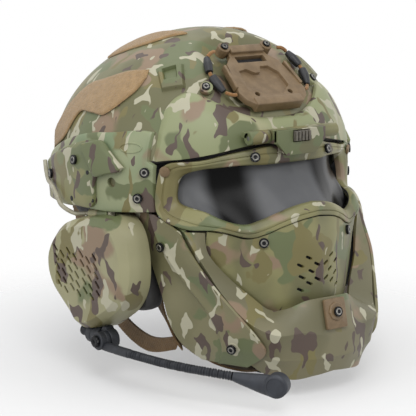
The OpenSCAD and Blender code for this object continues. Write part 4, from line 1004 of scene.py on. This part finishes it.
def web(route, wide, side):
    """Flat webbing along a route, ribbed across, with thicker edges."""
    route, wide = curve(route, 12), curve(wide, 12)
    length = np.concatenate([[0], np.cumsum(np.linalg.norm(np.diff(route, axis=0), axis=1))])
    n = int(length[-1] / web_pitch * 4)
    at = np.linspace(0, length[-1], n)
    route = np.stack([np.interp(at, length, route[:, k]) for k in range(3)], axis=1)
    wide = np.stack([np.interp(at, length, wide[:, k]) for k in range(3)], axis=1)
    wide = unit(wide)
    out = unit(np.cross(wide, np.gradient(route, axis=0)))
    rib_h, lip_h, inset = 0.2, 0.18, 0.8
    rib = rib_h * np.cos(2 * math.pi * at / web_pitch)[None, :, None]
    k = np.linspace(-1, 1, 11)
    lip = (lip_h * (np.abs(k) > 0.75))[:, None, None]
    middle = route[None] + (k * web_w / 2)[:, None, None] * wide[None]
    thick = web_t / 2 - rib_h + rib + lip
    return shell_between(flip(middle + (thick - inset) * out[None], side),
                         flip(middle - (thick + inset) * out[None], side))


def rounded(x, low, high, r, n):
    """Outline with round corners, whose centres lie at -x and x and at low and high."""
    return [(cx + r * math.cos(a), cy + r * math.sin(a))
            for cx, cy, start in ((x, high, 0), (-x, high, 90), (-x, low, 180), (x, low, 270))
            for a in np.radians(np.linspace(start, start + 90, n))]


for side, tag in SIDES:
    strips = joined(web(strap_front, wide_front, side), web(strap_rear, wide_rear, side),
                    web(strap_chin, [(0, 1, 0.05)] * 4, side))
    add_mesh("web_" + tag, strips, webbing, nodes="chin_strap_" + tag, smooth=50)
add_mesh("buckle", placed(slab(rounded(8.6, -9, 9, 3.5, 8), 0, 6), matrix=pose((0, -95, -170.5))),
         black_plastic, nodes="strap_buckle", bevel=1.2)

# Hinge and latch: moulded barrels on the brow cover with a steel pin through them, and between them
# the latch, which swings with the mask. The ribbed grey button slides in the latch's pocket.
mask_film = camouflage("mask_film", "mask_camo", (10, 55, -30), base=(148, 144, 98))
steel = plastic("steel", paint(150, 150, 152), paint(118, 118, 122), 0.3, 5.0, 0.02, Metallic=1.0)
hinge_y, hinge_z = -131, 33
hinge_at = Vector((0, hinge_y, hinge_z))
latch_half, barrel_gap, barrel_l, barrel_r, bore_r = 25, 0.4, 20, 5.4, 2.05


def turned_x(x0, x1, r, sides=48):
    """Round bar about the hinge line between two places, chamfered at both ends."""
    c = 0.6
    bar = lathe([(0.001, x0), (r - c, x0), (r, x0 + c), (r, x1 - c), (r - c, x1), (0.001, x1)], sides)
    return placed(bar, matrix=pose(hinge_at, ("Y", 90)))


for side, tag in SIDES:
    x0 = latch_half + barrel_gap
    a, b = sorted((side * x0, side * (x0 + barrel_l)))
    bore = turned_x(a - 2, b + 2, bore_r, 32)
    add_mesh("hinge_barrel_" + tag, turned_x(a, b, barrel_r), mask_film,
             nodes="hinge_bracket" if side < 0 else (), cuts=bore, bevel=0.3)
    foot = block((a, hinge_y, hinge_z - 0.3), (b, hinge_y + 8, hinge_z + 4.3))
    add_mesh("hinge_foot_" + tag, foot, mask_film, cuts=bore, bevel=0.5)
dress("hinge_pin", steel)
latch_outline = [(-latch_half, -barrel_r), (latch_half, -barrel_r), (latch_half, 4), (15, 15),
                 (-15, 15), (-latch_half, 4)]
on_latch = pose((0, hinge_y - 11.8, hinge_z), ("X", -90))
pocket = block((-8.8, -144, hinge_z - 4.8), (8.8, -138.2, hinge_z + 4.8))
bore = turned_x(-30, 30, bore_r, 32)
add_mesh("latch_bar", turned_x(-latch_half, latch_half, barrel_r), mask_film, "face_mask",
         nodes="latch_housing", cuts=bore, bevel=0.3)
add_mesh("latch_body", block((-latch_half, -141.6, hinge_z - barrel_r),
                             (latch_half, hinge_y, hinge_z + barrel_r)), mask_film, "face_mask",
         cuts=joined(bore, pocket), bevel=0.4)
add_mesh("latch_face", placed(slab(latch_outline, 0, 4), matrix=on_latch), mask_film, "face_mask",
         cuts=pocket, bevel=0.25)
rib_w, rib_step = 2.2, 3.4
button = [block((-8.1, -143.6, 28.9), (8.1, -140, 37.1))]
for x in -7.9 + rib_step * np.arange(5):
    button.append(block((x, -145.4, 29.2), (x + rib_w, -143.5, 36.8)))
button_grey = plastic("button_grey", paint(112, 106, 94), paint(84, 80, 72), 0.5, 4.0, 0.04,
                      slot="button_black")
for k, part in enumerate(button):
    add_mesh("button_%d" % k, part, button_grey, "release_button",
             nodes="latch_button" if k == 0 else (), bevel=0.4)

# Arms of the ear cups: bent wire in cream enamel, held at the rear of the rail. The other end is the
# pin on which the cup swings, with a flanged head.
wire_enamel = plastic("wire_enamel", paint(190, 186, 166), paint(166, 160, 138), 0.42, 6.0, 0.03,
                      slot="wire")
cup_pin_x, cup_pin_y, cup_pin_z, pin_tilt = 118, -30, -34.2, 8
arm_run = [(54, -1, 9.6), (50, -7.5, 9.8), (46, -12.5, 9.85), (40, -16, 10.1), (32, -17.5, 10.3),
           (24, -20, 10.9), (16, -25, 11.3), (9, -32, 10.5)]
arm_line = [side_point(y, z, lift, RIGHT) for y, z, lift in arm_run]
arm_line += [(-124.6, 0, -37.6), (-118, -9.2, -37.2), (-118, -14.65, -36.36)]


def pin_matrix(side):
    """Place on a cup's hinge line, whose +Z points to the face."""
    return pose((side * cup_pin_x, cup_pin_y, cup_pin_z), ("X", 90 - pin_tilt))


for side, tag in SIDES:
    wire = tube(flip(curve(arm_line, 8), side), 1.8, 20)
    pin = placed(lathe([(0.001, -15.5), (1.7, -15.5), (2.0, -15.1), (2.0, 14.6), (2.8, 14.8),
                        (2.8, 17.2), (2.3, 17.6), (0.001, 17.6)], 32), matrix=pin_matrix(side))
    add_mesh("cup_wire_" + tag, joined(wire, pin), wire_enamel, nodes="arm_" + tag)

# Mask frame: the moulded ring round the opening for the eyes, with a rolled edge towards the lens
# and a groove along its middle. It hangs from the latch.
open_half = [(0, -136, 11), (-28, -132, 10.5), (-44, -125, 10.5), (-60, -115.5, 9), (-73, -105, 7),
             (-83, -95, 2), (-87, -93, -8), (-87, -96, -20), (-78, -119, -25), (-68, -131, -31),
             (-54, -139.5, -34.5), (-43, -146.5, -31), (-32, -152.5, -26), (-17, -158.5, -20.5),
             (0, -161, -18)]
rim_half = [(0, -137, 25), (-28, -132, 24.5), (-43, -125, 21.5), (-58, -117, 18.5), (-75, -107.5, 14.5),
            (-95, -89.9, 11.8), (-101.3, -85.7, -1.5), (-101.3, -86, -28.3), (-91, -108, -38),
            (-75, -130, -38), (-54, -143, -44), (-42, -151, -41), (-32, -157, -36),
            (-17, -163.5, -30.5), (0, -166, -28)]


def whole(half):
    """Closed loop from a half outline that starts and ends on the middle plane."""
    half = np.array(half, float)
    return np.concatenate([half, half[-2:0:-1] * [-1, 1, 1]])


def inwards(points, back):
    """Points of the mask moved some way towards the face."""
    p = np.array(points, float)
    return p + back * unit(np.stack([-0.6 * p[..., 0], 40 + 0.55 * (-92 - p[..., 1]), 0 * p[..., 0]],
                                    axis=-1))


frame_wall = 5
opening, rim_line = whole(curve(open_half, 6)), whole(curve(rim_half, 6))
away = unit(np.stack([opening[:, 0] * 0.7, opening[:, 1], 0 * opening[:, 0]], axis=1))
front_rows, back_rows = [], []
for t in np.concatenate([np.linspace(0, 0.45, 7), [0.54, 0.6, 0.62, 0.66, 0.68, 0.76, 0.84, 0.92, 1]]):
    lift = 1.6 * (t / 0.45 if t < 0.45 else (1 - t) / 0.55) - 0.7 * (0.61 < t < 0.67)
    row = opening * (1 - t) + rim_line * t
    edge = 0.9 * max(0, 1 - t / 0.08) + 0.5 * max(0, (t - 0.94) / 0.06)
    front_rows.append(inwards(row + lift * away, edge))
    back_rows.append(inwards(row + lift * away, frame_wall))
add_mesh("mask_ring", shell_between(np.array(front_rows), np.array(back_rows), wrap=True), mask_film,
         "face_mask", nodes="mask_frame", bevel=0.4, smooth=45)

# Lens: dark smoked plastic, curved to the face and set behind the frame. The pale bands in its
# colour stand for the reflections of a bright room.
smoke = Finish("smoke_lens", paint(16, 16, 18), 0.2, IOR=1.2)
point = smoke.place()
haze = smoke.noise(point, 30, 3.0)
across = smoke.node("ShaderNodeSeparateXYZ", None, {0: point})
pale = smoke.step(across, -66, 5)
pale = 1 - pale + smoke.step(across, -38, 7) * (1 - smoke.step(across, 22, 6))
smoke.colour(smoke.mix(pale * (0.75 + 0.25 * haze), paint(3, 3, 3), paint(116, 117, 119)))
smoke.roughness(0.2 + 0.1 * haze)
lens_rows = [[(0, -136.5, 14), (-24, -133.5, 13.5), (-42, -126.5, 13.5), (-56, -119, 12.5),
              (-68, -110, 10.5), (-77, -102, 8), (-85, -93, 4)],
             [(0, -144, -1), (-24, -140, -2), (-43, -131, -3), (-58, -120.5, -4), (-71, -109, -5),
              (-81, -99, -5), (-89, -90, -6)],
             [(0, -154, -12), (-22, -150, -14), (-42, -140, -18), (-58, -128, -19), (-72, -116, -18),
              (-82, -106, -16), (-90, -93, -14)],
             [(0, -163, -21), (-18, -160.5, -23.5), (-34, -154, -30), (-52, -143, -37.5),
              (-68, -132.5, -34), (-80, -120, -28), (-90, -97, -23)]]


def doubled(half, steps):
    """Smooth row from the right end over the middle to the left end."""
    half = curve(half, steps)
    return np.concatenate([half, half[-2::-1] * [-1, 1, 1]])


grid = loft([doubled(row[::-1], 8) for row in lens_rows], 8)
lens_front = inwards(grid, frame_wall + 3.9)
add_mesh("visor", shell_between(lens_front, inwards(grid, frame_wall + 6.1)), smoke, "face_mask",
         nodes="lens", bevel=0.3, smooth=60)

# Gasket: soft black rubber pressed between the frame and the lens. A strip of the same rubber closes
# the seam between the frame and the face plate from behind.
gasket_rubber = plastic("gasket_rubber", paint(26, 26, 27), paint(38, 38, 39), 0.7, 5.0, 0.04)
across = unit(np.array(rim_half, float) - np.array(open_half, float))
lip = ruled(*[inwards(whole(curve(np.array(open_half) + d * across, 6)), frame_wall + 0.3)
              for d in (0.6, 4.5)], 3)
add_mesh("visor_gasket", shell_between(lip, inwards(lip, 0.6), wrap=True), gasket_rubber, "face_mask",
         nodes="lens_gasket", bevel=0.15)

low_rim = np.array([p for p in rim_line if p[2] < -24 and p[1] < -93])
at_front = fade(-low_rim[:, 1:2], 112, 124)
strip = ruled(inwards(low_rim + [0, 0, 3], 5.6), inwards(low_rim - [0, 0, 8], 7.2)
              + at_front * [0, 2.4, -8], 4)
add_mesh("seam_strip", shell_between(strip, inwards(strip, 0.8)), gasket_rubber, "face_mask")

# Face plate: the moulded plate over the nose and the mouth, with a ridge in the middle and two banks
# of slanted vents, screwed to the frame. A rubber screen lies behind the vents.
mask_wall = 3
plate_rows = [[(-79, -122, -39.2), (-68, -132, -41), (-54, -141.5, -45.2), (-40, -150.5, -41.2),
               (-30, -156.5, -36), (-16, -162.2, -31.3), (0, -164.5, -29.2)],
              [(-77, -119.5, -56), (-66, -131, -58), (-53, -143, -58), (-42, -151, -52),
               (-28, -159, -48), (-13, -166.5, -50), (0, -168.5, -51)],
              [(-69, -126, -76), (-60, -135, -76), (-50, -144.5, -75), (-40, -152.5, -72),
               (-27, -160, -69), (-12, -167, -67), (0, -169.5, -67)],
              [(-57, -135.5, -94), (-50, -142, -96), (-43, -149, -96), (-35, -155.5, -94),
               (-25, -162, -90), (-12, -168, -87), (0, -170.5, -86)],
              [(-49, -140, -107), (-44, -145, -107), (-38, -150, -106), (-31, -156, -104),
               (-22, -162.5, -101), (-11, -168.5, -98), (0, -171, -97)]]
grid = loft([doubled(row, 7) for row in plate_rows], 8)
vent_slant = 28
vents = [(-11.5, -61), (-18, -67), (-9.5, -72), (-17, -76.5), (-11.5, -81.5), (-18.5, -86.5),
         (-4.5, -66.5), (-4.5, -78.5)]


def capsule(half, r, n):
    """Outline of a slot with round ends, whose centres lie at -half and half."""
    return [(sx * half + r * math.cos(a), r * math.sin(a)) for sx, start in ((1, -90), (-1, 90))
            for a in np.radians(np.linspace(start, start + 180, n))]


cuts = []
for side in (RIGHT, LEFT):
    for x, z in vents:
        place = pose((-side * x, -150, z), ("X", 90), ("Z", side * vent_slant))
        cuts.append(placed(slab(capsule(1.9, 1.1, 9), 0, 30), matrix=place))
skin = normals(grid, (0, -1, 0))
add_mesh("face_shield", shell_between(grid, grid - mask_wall * skin), mask_film, "face_mask",
         nodes="face_plate", cuts=joined(*cuts), bevel=0.35, smooth=30)
centre = grid.shape[1] // 2
front, back = ((grid - (mask_wall + d) * skin)[7:27, centre - 17:centre + 18] for d in (0.7, 1.9))
add_mesh("vent_screen", shell_between(front, back), gasket_rubber, "face_mask")

# Chin guard: one moulded U that runs down from both temples and round the chin, in three facets with
# crisp edges. It hangs from the mask frame. Its camouflage is a darker copy of the mask's, painted
# shade for the lower mask.
guard_rows = [[(-80.5, -121.5, -40), (-78, -123, -57), (-66, -134.5, -76), (-53, -144.5, -90),
               (-42, -155, -101), (-34, -167, -99), (-22, -175, -93), (-14, -181, -91), (0, -182, -91)],
              [(-92, -109, -40), (-89, -119, -54), (-84.5, -132.5, -71), (-78, -143.5, -88),
               (-66, -158.5, -107), (-52, -177, -116), (-30, -184, -116), (-14, -188, -119),
               (0, -188.5, -119)],
              [(-91, -100, -37.5), (-88.5, -108, -56), (-84, -121, -75), (-77, -133, -93),
               (-66, -150, -121), (-52, -172, -136), (-35, -181, -138), (-15, -189, -138),
               (0, -190, -138)],
              [(-90.5, -80, -31.5), (-88.5, -84, -58), (-84, -99, -78), (-76.5, -116, -98),
               (-65, -137, -130), (-52, -156, -150), (-36, -175, -155), (-16, -183, -153),
               (0, -185.5, -151)]]
# Darker base than the mask's film: painted shade on the lower mask.
jaw_film_painted_shade = camouflage("jaw_film_painted_shade", "mask_camo", (75, -20, 130), base=(128, 122, 92),
                      second=(112, 108, 80))
grid = rows_through([doubled(row, 7) for row in guard_rows], 6)
skin = normals(grid, (0, -1, 0))
add_mesh("jaw_shell", shell_between(grid, grid - mask_wall * skin), jaw_film_painted_shade, "face_mask",
         nodes="chin_guard", bevel=0.4, smooth=11)

# Cheek wings: long faceted plates over the arms of the chin guard, each screwed on two bosses. A low
# ledge runs down each wing where it turns to the front.
wing_wall, boss_r = 2.4, 4
cheek_rows = [[(-102, -52, -29.6), (-101.5, -58, -48), (-100, -68, -62), (-98, -76, -76),
               (-95, -85, -100), (-92, -90, -119), (-86, -97, -134), (-75, -110, -146.5)],
              [(-100.5, -80, -29.2), (-99.5, -91, -49), (-95.5, -103, -65), (-89.5, -115, -80),
               (-79.5, -138, -103), (-73, -145.5, -120), (-70.5, -144, -133), (-67.5, -128, -147)],
              [(-96, -107, -40), (-93.5, -117, -54), (-89, -131, -71), (-82.5, -142, -86),
               (-72.5, -156.5, -104), (-63.5, -167.5, -120), (-57.5, -169, -132.5), (-59, -149, -147)]]
cheek_bosses = [((-101.3, -91.1, -53.7), (-0.99, -0.09, -0.14), 11.3),
                ((-73, -146.9, -129.8), (-0.87, -0.4, -0.28), 8.3)]
cheek_film = camouflage("cheek_film", "mask_camo", (-15, 95, 45), base=(136, 131, 97),
                        second=(120, 116, 82))
for side, tag in SIDES:
    rear, middle, front = (curve(row, 8) for row in cheek_rows)
    ledge = middle + 0.22 * (rear - middle)
    raised = middle + 0.16 * (rear - middle) + [-1.9, -0.6, 0]
    grid = flip(rows_through([rear, ledge, raised, middle + [-0.5, -0.5, 0], front], 5), side)
    parts = [shell_between(grid, grid - wing_wall * normals(grid, (side, 0, 0)))]
    for at, out, far in cheek_bosses:
        out = Vector(flip(out, side)).normalized()
        parts.append(placed(slab(circle(boss_r), -far, -wing_wall / 2), flip(at, side), out))
    add_mesh("cheek_wing_" + tag, joined(*parts), cheek_film, "face_mask", nodes="cheek_plate_" + tag,
             bevel=0.3, smooth=16)

# Cheek cushions: crowned foam pads in the liner's knit, stuck inside the arms of the chin guard and
# thickest in their middle.
for side, tag in SIDES:
    first, second = curve(guard_rows[2], 12), curve(guard_rows[3], 12)
    grid = ruled(first[3:40], second[3:40], 24)
    outer = grid + (mask_wall + 0.5) * normals(grid, (1, 0, 0))
    u = np.sin(math.pi * np.linspace(0, 1, 25))[:, None]
    v = np.sin(math.pi * np.linspace(0, 1, 37))[None, :]
    depth = (7.5 + 6 * np.maximum(0, u * v) ** 0.4)[..., None]
    cushion("jaw_cushion_" + tag, "cheek_pad_" + tag, "face_mask",
            shell_between(flip(outer, side), flip(outer + depth * [1, 0.15, 0], side)))

# Chin clip: a moulded tan plate with rounded corners and an eight-sided boss, screwed on the front of
# the chin guard.
on_chin = pose((-1, -185.4, -103.5), ("X", 77))
add_mesh("chin_plate", placed(slab(rounded(9, -11, 10, 1.5, 5), 0, 3), matrix=on_chin), tan_polymer,
         "face_mask", nodes="chin_clip", bevel=0.6)
boss = lathe([(0.001, 2.6), (7.6, 2.6), (7.6, 3.7), (6.8, 4.5), (0.001, 4.5)], 8)
add_mesh("chin_boss", placed(boss, matrix=on_chin @ pose((0, 1, 0))), tan_polymer, "face_mask",
         smooth=10)

# Ear cups: moulded bowls with a flat face, bevelled edges and a grille of slanted slots. The knuckle
# on top turns about the end of the wire arm, with head room for the pin's flange.
CUP_BODY = {"r": "right_ear_cup", "l": "left_ear_cup"}
cup_film = camouflage("cup_film", "cup_camo", (-120, 60, 85), base=(172, 168, 130),
                      second=(158, 154, 118), blot=1.25)
cup_edge = [(-18, -37), (-44, -32), (-64, -33), (-77.5, -44.5), (-83.5, -66), (-81.5, -88), (-70, -106),
            (-52, -119), (-34, -129), (-18, -131), (-8, -122), (4, -112), (17, -100), (24, -86),
            (24, -70), (15, -54), (1, -43)]
cup_rim_x, cup_depth, cup_wall, cup_mid = 106, 30, 2.8, np.array([-30.0, -84.0])
cup_line = ring_curve(cup_edge, 8)


def cup_ring(depth, k):
    """Ring of the right cup at a depth from its rim, drawn in by the factor k."""
    flat = cup_mid + (cup_line - cup_mid) * k
    x = -(cup_rim_x + depth + 0.1 * (flat[:, 0] - cup_mid[0]) * depth / cup_depth)
    return np.stack([x, flat[:, 0], flat[:, 1]], axis=1)


def bowl(profile, pole_depth):
    """Closed-topped surface through rings of (depth, factor)."""
    grid = np.array([cup_ring(d, k) for d, k in profile])
    return cap(grid, (-(cup_rim_x + pole_depth), cup_mid[0], cup_mid[1]))


def spread(points, n):
    """More rows between the corners of a profile, none of them rounded."""
    points = np.array(points, float)
    return [tuple(a + (b - a) * k / n) for a, b in zip(points[:-1], points[1:])
            for k in range(n)] + [tuple(points[-1])]


outer_profile = (spread([(0, 1), (13.5, 1), (23.4, 0.96), (30, 0.84)], 3)
                 + [(30, k) for k in (0.7, 0.5, 0.3, 0.1)])
inner_profile = [(0, 0.942), (13.5, 0.942), (22.5, 0.902), (27.2, 0.8), (27.2, 0.5), (27.2, 0.1)]
cup_bowl = bowl_between(bowl(outer_profile, cup_depth), bowl(inner_profile, cup_depth - cup_wall),
                        len(cup_line))
slots = []
slot_step_y, slot_step_z, row_shift, slot_from, slot_slant = 8.4, 7.4, 1.2, 15, 45
for r in range(5):
    for c in range(7):
        y = 6 - c * slot_step_y - r * row_shift
        z = -66 - r * slot_step_z - (c % 2) * slot_step_z / 2
        place = pose((-cup_rim_x - slot_from, y, z), ("Y", -90), ("Z", slot_slant))
        slots.append(placed(slab(capsule(2.6, 1.3, 7), 0, 30), matrix=place))
slots = joined(*slots)
knuckle = lathe([(0.001, -14), (3.6, -14), (4.2, -13.4), (4.2, 13.4), (3.6, 14), (0.001, 14)], 40)
pin_bore = lathe([(0.001, -40), (bore_r, -40), (bore_r, 14.2), (3.4, 14.2), (3.4, 26), (0.001, 26)], 32)
for side, tag in SIDES:
    solid, grille = (cup_bowl, slots) if side < 0 else (mirrored(cup_bowl), mirrored(slots))
    bore = placed(pin_bore, matrix=pin_matrix(side))
    add_mesh("cup_" + tag, solid, cup_film, CUP_BODY[tag], nodes="ear_cup_" + tag,
             cuts=joined(grille, bore), bevel=0.5, smooth=28)
    add_mesh("cup_knuckle_" + tag, placed(knuckle, matrix=pin_matrix(side)), cup_film, CUP_BODY[tag],
             cuts=bore, bevel=0.2)

# Ear seals: D-shaped foam cushions in black leatherette, pressed on the rims of the ear cups and
# puckered round the hollow for the ear.
leatherette = plastic("leatherette", paint(22, 21, 21), paint(34, 33, 32), 0.6, 3.0, 0.16, 0.7,
                      "seal_leather")
seal_edge = [(-57, -54), (-63.5, -63), (-71, -76), (-76, -88), (-79, -99), (-77, -106.5), (-68, -110.5),
             (-52, -113), (-34, -116.5), (-14, -113), (3, -98), (8, -78), (3, -60), (-12, -48),
             (-32, -45)]
seal_line, ear_centre, hollow_half = ring_curve(seal_edge, 8), np.array([-25.0, -80.0]), [29, 37]
seal_profile = [(0.95, 0), (0.99, 3), (1, 7), (0.99, 11), (0.97, 14.2), (0.93, 16.2), (0.84, 17.3)]
hollow_profile = [(0.6, 0), (0.57, 3), (0.56, 7), (0.565, 11), (0.58, 14.2), (0.64, 16.2), (0.72, 17.3)]
for side, tag in SIDES:
    out_from_ear = seal_line - ear_centre
    round_ear = out_from_ear / np.linalg.norm(out_from_ear / hollow_half, axis=1, keepdims=True)
    pucker = 1 + 0.02 * np.sin(np.arange(len(seal_line)) * 1.57)[:, None]

    def seal_ring(flat, depth):
        return stacked(side * (cup_rim_x - 0.4 - depth), flat[:, 0], flat[:, 1])

    outer = loft([seal_ring(ear_centre + k * out_from_ear, d) for k, d in seal_profile], 3)
    inner = loft([seal_ring(ear_centre + k * round_ear * pucker, d) for k, d in hollow_profile], 3)
    cushion("seal_" + tag, "ear_seal_" + tag, CUP_BODY[tag], shell_between(outer, inner, wrap=True),
            leatherette, 1.2)

# Boom microphone: a pivot block, a knurled barrel and an axle on the right cup, and on the axle the
# hub of a ribbed rubber boom. Its flat stem widens into a round pod.
boom_pivot = Vector((-122, -47, -135.4))
boom_rubber = plastic("boom_rubber", paint(42, 45, 51), paint(32, 34, 39), 0.6, 6.0, 0.05)
mic_plastic = plastic("mic_plastic", paint(50, 54, 62), paint(40, 43, 50), 0.5, 7.0, 0.05)
foot = Vector((-43.5, -129.6))
line_up = Vector((foot[0] - boom_pivot[1], foot[1] - boom_pivot[2]))
lean = math.atan2(line_up[1], line_up[0])
arcs = [(boom_pivot[1], boom_pivot[2], 8, np.linspace(0.5, 2 * math.pi - 0.5, 36)),
        (foot[0], foot[1], 4.4, np.linspace(-1.0, 1.0, 14))]
outline = [(y + r * math.cos(lean + a), z + r * math.sin(lean + a))
           for y, z, r, arc in arcs for a in arc]
base = slab(outline, 0, 8)
base = (np.stack([-125 + base[0][:, 2], base[0][:, 0], base[0][:, 1]], axis=1), base[1])
add_mesh("boom_block", base, boom_rubber, "right_ear_cup", nodes="boom_base", bevel=0.8)
barrel = [(0.001, 9), (4.2, 9), (4.8, 9.8)]
for k in range(5):
    barrel += [(4.8, 10.4 + 2 * k), (4.3, 10.8 + 2 * k), (4.3, 11.4 + 2 * k), (4.8, 11.8 + 2 * k)]
barrel += [(4.8, 21), (7.4, 21.4), (8, 22.2), (8, 28), (7.4, 28.6), (7.4, 29.4), (8, 30), (8, 37),
           (7.4, 37.8), (0.001, 37.8)]
add_mesh("boom_barrel", placed(lathe(barrel, 40), (-122, 0, -135.4), (0, -1, 0)), boom_rubber,
         "right_ear_cup", smooth=30)
on_pivot = pose(boom_pivot, ("Y", -90))


def turned_at_pivot(profile):
    """Solid turned about the pivot's axis from a profile of (radius, x)."""
    return placed(lathe([(r, -x) for r, x in profile]), matrix=on_pivot)


add_mesh("boom_axle", turned_at_pivot([(0.001, 5), (2.5, 5), (2.5, -13), (5, -13.2), (5, -14.9),
                                       (4.4, -15.5), (1.6, -15.5), (1.4, -14.8), (0.001, -14.8)]),
         screw_black, "right_ear_cup", bevel=0.15)
hub_bore = placed(slab(circle(2.55), -10, 30), matrix=on_pivot)
hub = turned_at_pivot([(0.001, -3.4), (6.9, -3.4), (7.5, -4.0), (7.5, -6.6), (7.0, -7.0), (7.0, -7.6),
                       (7.5, -8.0), (7.5, -12.0), (6.9, -12.6), (0.001, -12.6)])
add_mesh("boom_hub", hub, boom_rubber, "microphone_boom", nodes="boom", cuts=hub_bore, bevel=0.25)
boom_route = [(-129, -50, -139.5), (-129, -60, -139.2), (-128, -78, -138.8), (-125, -96, -139),
              (-119, -118, -139.8), (-111, -138, -140.6), (-101, -157, -141.5), (-92, -172, -142.5)]
route = curve(boom_route, 40)
length = np.concatenate([[0], np.cumsum(np.linalg.norm(np.diff(route, axis=0), axis=1))])
rib_pitch = 2.3
radius = np.where(length < 33, 3.8,
                  2.65 + 0.95 * np.clip(0.5 + 1.3 * np.sin(2 * math.pi * length / rib_pitch), 0, 1))
add_mesh("boom_neck", tube(route, radius, 24), boom_rubber, "microphone_boom", cuts=hub_bore,
         smooth=50)
pod_at = np.array([-72.0, -202.0, -146.0])
start = np.array(boom_route[-1]) + [0.5, -0.9, -0.1]
d = unit(pod_at - start)
wide = unit(np.cross(d, (0, 0, 1)))
paddle = curve([(0, 3.7, 3.7), (5, 4.6, 4.4), (12, 5.8, 5.0), (22, 7.6, 5.4),
                (np.linalg.norm(pod_at - start), 9.3, 5.7)], 8)
stem_sides = 32
stem_faces = tube(start + paddle[:, :1] * d, 1.0, stem_sides)[1]
ring = np.linspace(0, 2 * math.pi, stem_sides, endpoint=False)
verts = [start + s * d - [0, 0, 0.3 * (h - 3.7)] + w * math.cos(a) * wide
         + h * math.sin(a) * np.cross(wide, d) for s, h, w in paddle for a in ring]
on_pod = pose(pod_at, ("Z", math.degrees(math.atan2(wide[1], wide[0]))), ("Y", 90))
pod = placed(lathe([(0.001, -5.6), (6.6, -5.6), (7.0, -6.1), (8.6, -5.6), (9.4, -4.6), (9.5, -3.4),
                    (9.5, 3.4), (9.4, 4.6), (8.6, 5.6), (7.0, 6.1), (6.6, 5.6), (0.001, 5.6)], 64),
             matrix=on_pod)
add_mesh("pod_stem", (np.array(verts), stem_faces), mic_plastic, "microphone_boom", smooth=40)
add_mesh("pod_head", pod, mic_plastic, "microphone_boom", nodes="mic_pod", smooth=50)

# Studio: a pale floor that only keeps a soft shadow round the helmet, four square softboxes, and a
# white background that the camera, gloss and glass see.
floor_pale = Finish("floor_pale", paint(246, 246, 247), 0.9)
point = floor_pale.place()
floor_pale.colour(floor_pale.mix(floor_pale.noise(point, 300, 2.0), paint(250, 250, 251),
                                 paint(253, 253, 254)))
spread_out = floor_pale.node("ShaderNodeVectorMath", {"operation": "LENGTH"}, {0: point}, out=1)
shadow_strength, shadow_reach, shadow_soft = 0.62, 260, 130
fade_out = 1 - floor_pale.step(spread_out, shadow_reach, shadow_soft)
floor_pale.put(floor_pale.shader, "Alpha", shadow_strength * fade_out)
low_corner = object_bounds()[0]
floor_mesh = bpy.data.meshes.new("floor")
half, floor_gap = 0.8, 0.0005
floor_mesh.from_pydata([(-half, -half, 0), (half, -half, 0), (half, half, 0), (-half, half, 0)], [],
                       [(0, 1, 2, 3)])
floor = bpy.data.objects.new("floor", floor_mesh)
scene.collection.objects.link(floor)
floor.location.z = low_corner.z - floor_gap
floor_mesh.materials.append(floor_pale.material)


def softbox(name, at, width, power):
    """Square area light that looks at the helmet."""
    light = bpy.data.lights.new(name, "AREA")
    light.shape, light.size, light.energy = "SQUARE", width, power
    lamp = bpy.data.objects.new(name, light)
    scene.collection.objects.link(lamp)
    lamp.location = at
    lamp.rotation_euler = (Vector((0, -0.03, -0.03)) - Vector(at)).to_track_quat("-Z", "Y").to_euler()


softbox("key", (-0.9, -1.5, 1.7), 1.1, 20)
softbox("fill", (1.3, -1.3, 0.5), 1.2, 5)
softbox("top", (0, 0.3, 1.7), 1.4, 8)
softbox("side", (-1.8, -0.1, 0.6), 1.1, 6)
world = bpy.data.worlds.new("studio")
scene.world = world
world.use_nodes = True
sky = Tree(world.node_tree)
sees_white = 0
for ray in ("Is Camera Ray", "Is Glossy Ray", "Is Transmission Ray"):
    sees_white = sky.node("ShaderNodeMath", {"operation": "MAXIMUM"},
                          {0: sees_white, 1: sky.node("ShaderNodeLightPath", out=ray)})
ambient = sky.node("ShaderNodeBackground", None, {"Color": (0.97, 0.98, 1, 1), "Strength": 0.36})
white = sky.node("ShaderNodeBackground", None, {"Color": (1, 1, 1, 1), "Strength": 1.0})
background = sky.node("ShaderNodeMixShader", None, {0: sees_white, 1: ambient, 2: white})
sky.put(sky.nodes["World Output"], "Surface", background)
scene.view_settings.view_transform = "Standard"
